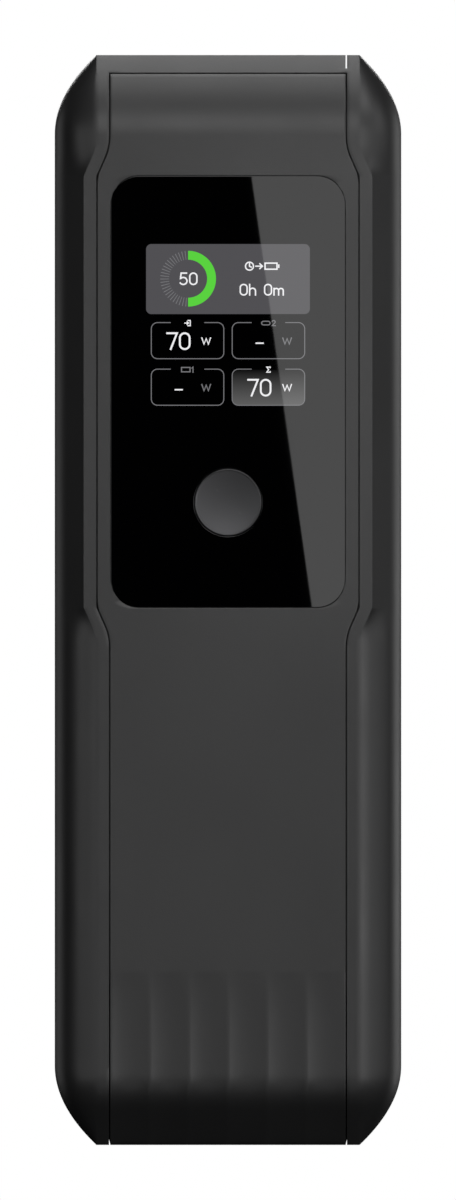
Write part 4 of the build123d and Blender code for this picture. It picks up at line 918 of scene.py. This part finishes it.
def make_sockets():
    """Socket shells, tongues and gold contacts."""
    steel, black, gold = plated_steel(), insert_black(), contact_gold()
    for name in ("usb_c_shell_1", "usb_c_shell_2", "usb_a_shell"):
        merged_copy(name, name + "_rim", steel, 0.06 * MM)
    for name in ("usb_c_insert_1", "usb_c_insert_2", "usb_a_insert"):
        merged_copy(name, name + "_tongue", black, 0.05 * MM)
    strips = []
    for name in ("usb_c_insert_1", "usb_c_insert_2"):
        low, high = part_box(name)
        middle, mouth = float(low[1] + high[1]) / 2, high[2]
        for side in (-1, 1):
            for i in range(C_CONTACTS):
                x, y = (i - (C_CONTACTS - 1) / 2) * C_PITCH, middle + side * C_OFFSET
                strips.append(contact_strip(x, y, C_WIDTH, mouth - C_START, mouth - C_END, side))
    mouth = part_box("usb_a_insert")[1][2]
    for i in range(A_CONTACTS):
        x = (i - (A_CONTACTS - 1) / 2) * A_PITCH
        strips.append(contact_strip(x, A_PLACE, A_WIDTH, mouth - A_START, mouth - A_END, -1))
    contacts = new_piece("socket_contacts", *apart(strips), BODY, "socket_steel", gold)
    thicken(contacts, 0.04 * MM)


# --- materials -----------------------------------------------------------------------------------------
def new_material(name):
    """A material with its principled shader and its node tree."""
    material = bpy.data.materials.get(name)
    if material:
        return material, None, None
    material = bpy.data.materials.new(name)
    material.use_nodes = True
    tree = material.node_tree
    return material, tree, tree.nodes["Principled BSDF"]


def adjust(made, **values):
    """Sets a node's own settings; any other key names an input, with _ for its spaces."""
    for key, value in values.items():
        if hasattr(made, key):
            setattr(made, key, value)
        else:
            made.inputs[key.replace("_", " ")].default_value = value


def node(tree, kind, **values):
    """A new node with its settings."""
    made = tree.nodes.new(kind)
    adjust(made, **values)
    return made


def grain_group():
    """Shared effect: fine moulded grain. Takes a place and a grain size; gives a height and a mottle."""
    name = "Moulded grain"
    group = bpy.data.node_groups.get(name)
    if group:
        return group
    group = bpy.data.node_groups.new(name, "ShaderNodeTree")
    face = group.interface
    face.new_socket("Place", in_out="INPUT", socket_type="NodeSocketVector")
    face.new_socket("Grain size", in_out="INPUT", socket_type="NodeSocketFloat")
    face.new_socket("Height", in_out="OUTPUT", socket_type="NodeSocketFloat")
    face.new_socket("Mottle", in_out="OUTPUT", socket_type="NodeSocketFloat")
    inside, outside = group.nodes.new("NodeGroupInput"), group.nodes.new("NodeGroupOutput")
    scale = node(group, "ShaderNodeMath", operation="DIVIDE")
    scale.inputs[0].default_value = 1.0
    group.links.new(inside.outputs["Grain size"], scale.inputs[1])
    fine = node(group, "ShaderNodeTexNoise", Detail=3.0, Roughness=0.6)
    cells = node(group, "ShaderNodeTexVoronoi", feature="SMOOTH_F1")
    broad = node(group, "ShaderNodeTexNoise", Scale=55.0, Detail=2.0)
    for texture in (fine, cells, broad):
        group.links.new(inside.outputs["Place"], texture.inputs["Vector"])
    for texture in (fine, cells):
        group.links.new(scale.outputs[0], texture.inputs["Scale"])
    mix = node(group, "ShaderNodeMath", operation="ADD")
    group.links.new(fine.outputs["Fac"], mix.inputs[0])
    group.links.new(cells.outputs["Distance"], mix.inputs[1])
    group.links.new(mix.outputs[0], outside.inputs["Height"])
    group.links.new(broad.outputs["Fac"], outside.inputs["Mottle"])
    return group


def wear_group():
    """Shared effect: edges polished by handling. Takes a place and an amount; gives how worn an edge is."""
    name = "Edge wear"
    group = bpy.data.node_groups.get(name)
    if group:
        return group
    group = bpy.data.node_groups.new(name, "ShaderNodeTree")
    face = group.interface
    face.new_socket("Place", in_out="INPUT", socket_type="NodeSocketVector")
    face.new_socket("Amount", in_out="INPUT", socket_type="NodeSocketFloat")
    face.new_socket("Worn", in_out="OUTPUT", socket_type="NodeSocketFloat")
    inside, outside = group.nodes.new("NodeGroupInput"), group.nodes.new("NodeGroupOutput")
    geometry = group.nodes.new("ShaderNodeNewGeometry")
    patch = node(group, "ShaderNodeTexNoise", Scale=240.0, Detail=4.0)
    group.links.new(inside.outputs["Place"], patch.inputs["Vector"])
    edge = node(group, "ShaderNodeMapRange", From_Min=0.50, From_Max=0.62)
    group.links.new(geometry.outputs["Pointiness"], edge.inputs["Value"])
    product = node(group, "ShaderNodeMath", operation="MULTIPLY")
    group.links.new(edge.outputs[0], product.inputs[0])
    group.links.new(patch.outputs["Fac"], product.inputs[1])
    share = node(group, "ShaderNodeMath", operation="MULTIPLY", use_clamp=True)
    group.links.new(product.outputs[0], share.inputs[0])
    group.links.new(inside.outputs["Amount"], share.inputs[1])
    group.links.new(share.outputs[0], outside.inputs["Worn"])
    return group


def place_of(tree):
    """The object's own coordinates."""
    return tree.nodes.new("ShaderNodeTexCoord").outputs["Object"]


WORN = 0.6
WORN_GLOSS = -0.1  # change of roughness on a worn edge
MOTTLE = 0.06  # share by which the colour varies
WORN_PALE = 1.5


def surface(name, base, roughness, grain, depth, spread=0.08, metallic=0.0):
    """A moulded or machined finish: grain, mottled roughness, and edges polished and paled by handling."""
    material, tree, shader = new_material(name)
    if tree is None:
        return material
    place = place_of(tree)
    texture = node(tree, "ShaderNodeGroup", node_tree=grain_group())
    texture.inputs["Grain size"].default_value = grain
    tree.links.new(place, texture.inputs["Place"])
    wear = node(tree, "ShaderNodeGroup", node_tree=wear_group())
    wear.inputs["Amount"].default_value = WORN
    tree.links.new(place, wear.inputs["Place"])
    bump = node(tree, "ShaderNodeBump", Strength=min(1.0, depth * 10), Distance=depth * grain)
    tree.links.new(texture.outputs["Height"], bump.inputs["Height"])
    tree.links.new(bump.outputs["Normal"], shader.inputs["Normal"])
    rough = node(tree, "ShaderNodeMapRange", To_Min=roughness - spread, To_Max=roughness + spread)
    tree.links.new(texture.outputs["Mottle"], rough.inputs["Value"])
    polished = node(tree, "ShaderNodeMath", operation="MULTIPLY_ADD", use_clamp=True)
    polished.inputs[1].default_value = WORN_GLOSS
    tree.links.new(wear.outputs["Worn"], polished.inputs[0])
    tree.links.new(rough.outputs[0], polished.inputs[2])
    tree.links.new(polished.outputs[0], shader.inputs["Roughness"])
    tint = node(tree, "ShaderNodeMix", data_type="RGBA")
    tint.inputs[6].default_value = (*[v * (1 - MOTTLE) for v in base], 1)
    tint.inputs[7].default_value = (*[min(1, v * (1 + MOTTLE)) for v in base], 1)
    tree.links.new(texture.outputs["Mottle"], tint.inputs[0])
    pale = node(tree, "ShaderNodeMix", data_type="RGBA")
    pale.inputs[7].default_value = (*[min(1, v * WORN_PALE) for v in base], 1)
    tree.links.new(wear.outputs["Worn"], pale.inputs[0])
    tree.links.new(tint.outputs[2], pale.inputs[6])
    tree.links.new(pale.outputs[2], shader.inputs["Base Color"])
    shader.inputs["Metallic"].default_value = metallic
    return material


def moulded_plastic(name, which):
    """Satin black plastic of the casing, the panels or the caps."""
    base = getattr(bpy.context.scene.charger_colours, which)
    return surface(name, base, 0.42, grain=0.16 * MM, depth=0.05)


def anodised():
    """Satin anodised metal of the button."""
    base = bpy.context.scene.charger_colours.button
    return surface("anodised button", base, 0.38, 0.09 * MM, 0.03, metallic=0.8)


def plated_steel():
    """Plated steel of the socket shells."""
    return surface("plated steel", (0.50, 0.49, 0.47), 0.28, 0.12 * MM, 0.02, metallic=1.0)


def insert_black():
    """Black moulding of the sockets' tongues."""
    return surface("socket black", (0.012, 0.012, 0.012), 0.4, 0.12 * MM, 0.02)


def contact_gold():
    """Gold plating of the contacts."""
    return surface("contact gold", (0.80, 0.55, 0.22), 0.22, 0.1 * MM, 0.01, metallic=1.0)


def print_grey():
    """Grey printing on the caps."""
    return surface("print grey", (0.22, 0.22, 0.22), 0.6, 0.1 * MM, 0.01)


LENS_BASE = (0.0004, 0.0004, 0.0005, 1)
SCREEN_GLOSS = 0.025


def lens_black():
    """Polished black lens with the faintest haze of handling in its gloss."""
    material, tree, shader = new_material("lens black")
    if tree is None:
        return material
    adjust(shader, Base_Color=LENS_BASE)
    haze = node(tree, "ShaderNodeTexNoise", Scale=90.0, Detail=3.0)
    tree.links.new(place_of(tree), haze.inputs["Vector"])
    gloss = node(tree, "ShaderNodeMapRange", To_Min=0.015, To_Max=0.035)
    tree.links.new(haze.outputs["Fac"], gloss.inputs["Value"])
    tree.links.new(gloss.outputs[0], shader.inputs["Roughness"])
    return material


DOT_SCALE = 10000.0 / 6.2832
DOT_STRENGTH = 0.03


def dot_rows(tree):
    """A faint grid of the screen's dots as a factor near 1: the product of a wave along X and one along Z."""
    product = None
    for axis in ("X", "Z"):
        wave = node(tree, "ShaderNodeTexWave", bands_direction=axis, Scale=DOT_SCALE)
        tree.links.new(place_of(tree), wave.inputs["Vector"])
        level = node(tree, "ShaderNodeMapRange", To_Min=1 - DOT_STRENGTH)
        tree.links.new(wave.outputs["Fac"], level.inputs["Value"])
        if product is None:
            product = level
        else:
            both = node(tree, "ShaderNodeMath", operation="MULTIPLY")
            tree.links.new(product.outputs[0], both.inputs[0])
            tree.links.new(level.outputs[0], both.inputs[1])
            product = both
    return product.outputs[0]


def lit(name, base):
    """A lit part of the screen under the gloss of the lens, with a faint grid of dots."""
    material, tree, shader = new_material(name)
    if tree is None:
        return material
    adjust(shader, Base_Color=LENS_BASE, Roughness=SCREEN_GLOSS, Emission_Strength=1.0)
    glow = node(tree, "ShaderNodeMix", data_type="RGBA", blend_type="MULTIPLY")
    glow.inputs[0].default_value = 1.0
    glow.inputs[6].default_value = (*base, 1)
    tree.links.new(dot_rows(tree), glow.inputs[7])
    tree.links.new(glow.outputs[2], shader.inputs["Emission Color"])
    return material


TOTAL_GREY = 0.112


def lit_gradient(low, high):
    """The total's box: black at its top to grey at its foot."""
    material, tree, shader = new_material("total grey")
    if tree is None:
        return material
    adjust(shader, Base_Color=LENS_BASE, Roughness=SCREEN_GLOSS, Emission_Strength=1.0)
    parts = tree.nodes.new("ShaderNodeSeparateXYZ")
    tree.links.new(place_of(tree), parts.inputs[0])
    level = node(tree, "ShaderNodeMapRange", From_Min=low, From_Max=high, To_Min=TOTAL_GREY, To_Max=0.0)
    tree.links.new(parts.outputs["Z"], level.inputs["Value"])
    tree.links.new(level.outputs[0], shader.inputs["Emission Color"])
    return material


INNER_FINISHES = {
    "tape": ((0.03, 0.03, 0.03), 0.8, 0.0),
    "screen": ((0.02, 0.02, 0.024), 0.15, 0.0),
    "inner_plastic": ((0.03, 0.03, 0.03), 0.5, 0.0),
    "circuit_board": ((0.02, 0.09, 0.05), 0.35, 0.0),
    "flat_cable": ((0.45, 0.22, 0.05), 0.3, 0.0),
    "cell_sleeve": ((0.10, 0.28, 0.42), 0.3, 0.0),
    "nickel": ((0.60, 0.59, 0.56), 0.25, 1.0),
    "insulation": ((0.62, 0.66, 0.60), 0.8, 0.0),
    "foam": ((0.06, 0.06, 0.06), 0.95, 0.0),
    "moulded_coil": ((0.13, 0.13, 0.14), 0.7, 0.0),
    "capacitor_can": ((0.75, 0.75, 0.76), 0.3, 1.0),
    "chip": ((0.02, 0.02, 0.02), 0.45, 0.0),
    "connector": ((0.025, 0.025, 0.027), 0.45, 0.0),
    "thermal_pad": ((0.45, 0.48, 0.52), 0.8, 0.0),
    "heat_spreader": ((0.78, 0.78, 0.79), 0.35, 1.0),
    "screw_steel": ((0.42, 0.42, 0.43), 0.35, 1.0),
    "wire_red": ((0.55, 0.02, 0.02), 0.4, 0.0),
    "wire_black": ((0.02, 0.02, 0.02), 0.4, 0.0),
}


def finish_inner_nodes():
    """Gives every CAD node that stays its own finish, by its slot in the record."""
    slots = {part["node"]: part["material_slot"] for part in frame["record"]["subparts"]}
    for name, obj in frame["nodes"].items():
        if obj.hide_render or slots[name] not in INNER_FINISHES:
            continue
        base, roughness, metallic = INNER_FINISHES[slots[name]]
        material = surface(slots[name].replace("_", " "), base, roughness, 0.2 * MM, 0.03, 0.06, metallic)
        obj.data.materials.clear()
        obj.data.materials.append(material)


# --- stage ---------------------------------------------------------------------------------------------
LAMPS = [
    # name, turn from the front towards +X and height above level in degrees, side in metres, power
    ("low lamp", 0, -25, 0.44, 0.45),
    ("left front lamp", -30, 0, 0.44, 0.95),
    ("left side lamp", -60, 0, 0.44, 0.95),
    ("right front lamp", 30, 0, 0.44, 2.6),
    ("right side lamp", 60, 0, 0.44, 0.75),
    ("right edge lamp", 88, 0, 0.44, 0.4),
    ("front lamp", 0, 20, 0.44, 2.7),
    ("right lamp", 75, 20, 0.44, 1.2),
    ("upper lamp", 0, 45, 0.44, 0.5),
    ("key lamp", 45, 45, 0.44, 2.5),
    ("high lamp", 0, 70, 0.44, 1.9),
    ("high right lamp", 60, 75, 0.44, 0.3),
    ("top lamp", 0, 95, 0.44, 3.2),
    ("rear lamp", 180, 20, 0.50, 4.0),
    ("right rear lamp", 138, 0, 0.50, 0.8),
    ("left rear lamp", 222, 0, 0.50, 0.3),
]
LAMP_REACH = 1.1


def add_lamp(name, turn, rise, side, power):
    """A soft square lamp on a sphere round the object's middle, turned towards it."""
    aim = (0, 0, HEIGHT / 2)
    turn, rise = math.radians(turn), math.radians(rise)
    way = (math.sin(turn) * math.cos(rise), -math.cos(turn) * math.cos(rise), math.sin(rise))
    place = [a + LAMP_REACH * w for a, w in zip(aim, way)]
    data = bpy.data.lights.new(name, "AREA")
    data.shape = "RECTANGLE"
    data.size, data.size_y = side, side
    data.energy = power
    lamp = bpy.data.objects.new(name, data)
    lamp.location = place
    lamp.rotation_mode = "QUATERNION"
    lamp.rotation_quaternion = Vector(way).to_track_quat("Z", "Y")
    lamp.visible_camera = False
    bpy.context.scene.collection.objects.link(lamp)


CARD_AWAY = 60 * MM
CARD_MARGIN = 6 * MM
CARD_FOOT, CARD_HEAD = 12.0 * MM, 3.36 * MM  # left edge in X at the lens's foot and head
CARD_RIGHT = 22 * MM
CARD_GLOW = 1.75


def flat_quad(name, points, material):
    """One four-sided face of the stage."""
    mesh = bpy.data.meshes.new(name)
    mesh.from_pydata(points, [], [(0, 1, 2, 3)])
    mesh.materials.append(material)
    quad = bpy.data.objects.new(name, mesh)
    bpy.context.scene.collection.objects.link(quad)
    return quad


def make_card():
    """A lit card in front of the lens with a slanted edge, seen only as the lens's reflection."""
    far = LENS_FACE - CARD_AWAY
    low, high = float(LENS_LOW[2]) - CARD_MARGIN, float(LENS_HIGH[2]) + CARD_MARGIN
    slope = (CARD_FOOT - CARD_HEAD) / float(LENS_HIGH[2] - LENS_LOW[2])
    foot, head = CARD_FOOT + slope * CARD_MARGIN, CARD_HEAD - slope * CARD_MARGIN
    points = [(foot, far, low), (CARD_RIGHT, far, low), (CARD_RIGHT, far, high), (head, far, high)]
    material, tree, shader = new_material("card light")
    tree.nodes.remove(shader)
    glow = node(tree, "ShaderNodeEmission", Strength=CARD_GLOW)
    tree.links.new(glow.outputs[0], tree.nodes["Material Output"].inputs["Surface"])
    card = flat_quad("reflected card", points, material)
    for flag in ("camera", "diffuse", "shadow", "transmission", "volume_scatter"):
        setattr(card, "visible_" + flag, False)


FLOOR_GLOW = 0.45


def make_floor():
    """A plain pale floor with a glow of its own, which neither lights nor shades the object."""
    look = bpy.context.scene.charger_look
    half = look.floor_size / 2
    points = [(-half, -half, 0), (half, -half, 0), (half, half, 0), (-half, half, 0)]
    material, _, shader = new_material("pale floor")
    adjust(shader, Base_Color=(*look.floor_colour, 1), Roughness=0.9, Specular_IOR_Level=0.0)
    adjust(shader, Emission_Color=(1, 1, 1, 1), Emission_Strength=FLOOR_GLOW)
    floor = flat_quad("floor", points, material)
    for flag in ("shadow", "diffuse", "glossy"):
        setattr(floor, "visible_" + flag, False)


def make_sky():
    """White behind everything for the camera, and for all other light a dim surround, brighter overhead."""
    look = bpy.context.scene.charger_look
    world = bpy.data.worlds.new("studio")
    world.use_nodes = True
    tree = world.node_tree
    back = tree.nodes["Background"]
    seen = node(tree, "ShaderNodeBackground", Color=(1, 1, 1, 1), Strength=1.0)
    place = tree.nodes.new("ShaderNodeTexCoord")
    parts = tree.nodes.new("ShaderNodeSeparateXYZ")
    tree.links.new(place.outputs["Generated"], parts.inputs[0])
    level = node(tree, "ShaderNodeMapRange", From_Min=0.05, To_Max=look.sky)
    tree.links.new(parts.outputs["Z"], level.inputs["Value"])
    tree.links.new(level.outputs[0], back.inputs["Strength"])
    path = tree.nodes.new("ShaderNodeLightPath")
    mix = tree.nodes.new("ShaderNodeMixShader")
    tree.links.new(path.outputs["Is Camera Ray"], mix.inputs[0])
    tree.links.new(back.outputs[0], mix.inputs[1])
    tree.links.new(seen.outputs[0], mix.inputs[2])
    tree.links.new(mix.outputs[0], tree.nodes["World Output"].inputs["Surface"])
    bpy.context.scene.world = world


def make_camera():
    """A level camera straight in front, without perspective."""
    look = bpy.context.scene.charger_look
    data = bpy.data.cameras.new("front camera")
    data.type = "ORTHO"
    data.ortho_scale = look.frame_height
    camera = bpy.data.objects.new("front camera", data)
    camera.location = (0, -1.2, HEIGHT / 2)
    camera.rotation_euler = (math.pi / 2, 0, 0)
    bpy.context.scene.collection.objects.link(camera)
    bpy.context.scene.camera = camera


# --- operators -----------------------------------------------------------------------------------------
class CHARGER_OT_stage(bpy.types.Operator):
    """Makes the floor, the lamps, the surround and the camera"""

    bl_idname = "charger.stage"
    bl_label = "Stage"

    def execute(self, context):
        context.scene.view_settings.view_transform = "Standard"
        make_camera()
        make_sky()
        make_floor()
        make_card()
        for lamp in LAMPS:
            add_lamp(*lamp)
        return {"FINISHED"}


class CHARGER_OT_casing(bpy.types.Operator):
    """Makes the two casing halves"""

    bl_idname = "charger.casing"
    bl_label = "Casing halves"

    def execute(self, context):
        make_casing("front_casing", "front_housing", True, False)
        make_casing("rear_casing", "rear_housing", False, True)
        return {"FINISHED"}


class CHARGER_OT_panels(bpy.types.Operator):
    """Makes the front and rear face panels"""

    bl_idname = "charger.panels"
    bl_label = "Face panels"

    def execute(self, context):
        make_panel("front_face", "front_panel", True, False)
        make_panel("rear_face", "rear_panel", False, True)
        return {"FINISHED"}


class CHARGER_OT_lens(bpy.types.Operator):
    """Makes the black lens"""

    bl_idname = "charger.lens"
    bl_label = "Lens"

    def execute(self, context):
        make_lens()
        return {"FINISHED"}


class CHARGER_OT_readouts(bpy.types.Operator):
    """Makes the lit read-outs"""

    bl_idname = "charger.readouts"
    bl_label = "Read-outs"

    def execute(self, context):
        make_readouts()
        return {"FINISHED"}


class CHARGER_OT_button(bpy.types.Operator):
    """Makes the dished button"""

    bl_idname = "charger.button"
    bl_label = "Button"

    def execute(self, context):
        make_button()
        return {"FINISHED"}


class CHARGER_OT_caps(bpy.types.Operator):
    """Makes the end caps and their printing"""

    bl_idname = "charger.caps"
    bl_label = "End caps"

    def execute(self, context):
        make_caps()
        return {"FINISHED"}


class CHARGER_OT_sockets(bpy.types.Operator):
    """Makes the sockets' shells, tongues and contacts"""

    bl_idname = "charger.sockets"
    bl_label = "Sockets"

    def execute(self, context):
        make_sockets()
        return {"FINISHED"}


class CHARGER_OT_inside(bpy.types.Operator):
    """Gives the pieces inside the casing their finishes"""

    bl_idname = "charger.inside"
    bl_label = "Inside"

    def execute(self, context):
        finish_inner_nodes()
        return {"FINISHED"}


OPERATORS = [
    CHARGER_OT_stage,
    CHARGER_OT_casing,
    CHARGER_OT_panels,
    CHARGER_OT_lens,
    CHARGER_OT_readouts,
    CHARGER_OT_button,
    CHARGER_OT_caps,
    CHARGER_OT_sockets,
    CHARGER_OT_inside,
]


class CHARGER_PT_builder(bpy.types.Panel):
    """Lists the builders of the charger's pieces"""

    bl_label = "Pocket charger"
    bl_idname = "CHARGER_PT_builder"
    bl_space_type = "VIEW_3D"
    bl_region_type = "UI"
    bl_category = "Charger"

    def draw(self, context):
        for operator in OPERATORS:
            self.layout.operator(operator.bl_idname)
        for group in (context.scene.charger_body, context.scene.charger_colours, context.scene.charger_look):
            box = self.layout.box()
            for key in group.__annotations__:
                box.prop(group, key)


GROUPS = {"charger_body": ChargerBody, "charger_colours": ChargerColours, "charger_look": ChargerLook}


def register():
    """Registers the settings, the operators and the panel."""
    for key, group in GROUPS.items():
        bpy.utils.register_class(group)
        setattr(bpy.types.Scene, key, bpy.props.PointerProperty(type=group))
    for operator in OPERATORS:
        bpy.utils.register_class(operator)
    bpy.utils.register_class(CHARGER_PT_builder)


def unregister():
    """Takes the panel, the operators and the settings away again."""
    bpy.utils.unregister_class(CHARGER_PT_builder)
    for operator in reversed(OPERATORS):
        bpy.utils.unregister_class(operator)
    for key, group in GROUPS.items():
        delattr(bpy.types.Scene, key)
        bpy.utils.unregister_class(group)


def main():
    """Builds everything in order."""
    register()
    for operator in OPERATORS:
        family, name = operator.bl_idname.split(".")
        getattr(getattr(bpy.ops, family), name)()


if __name__ == "__main__":
    main()
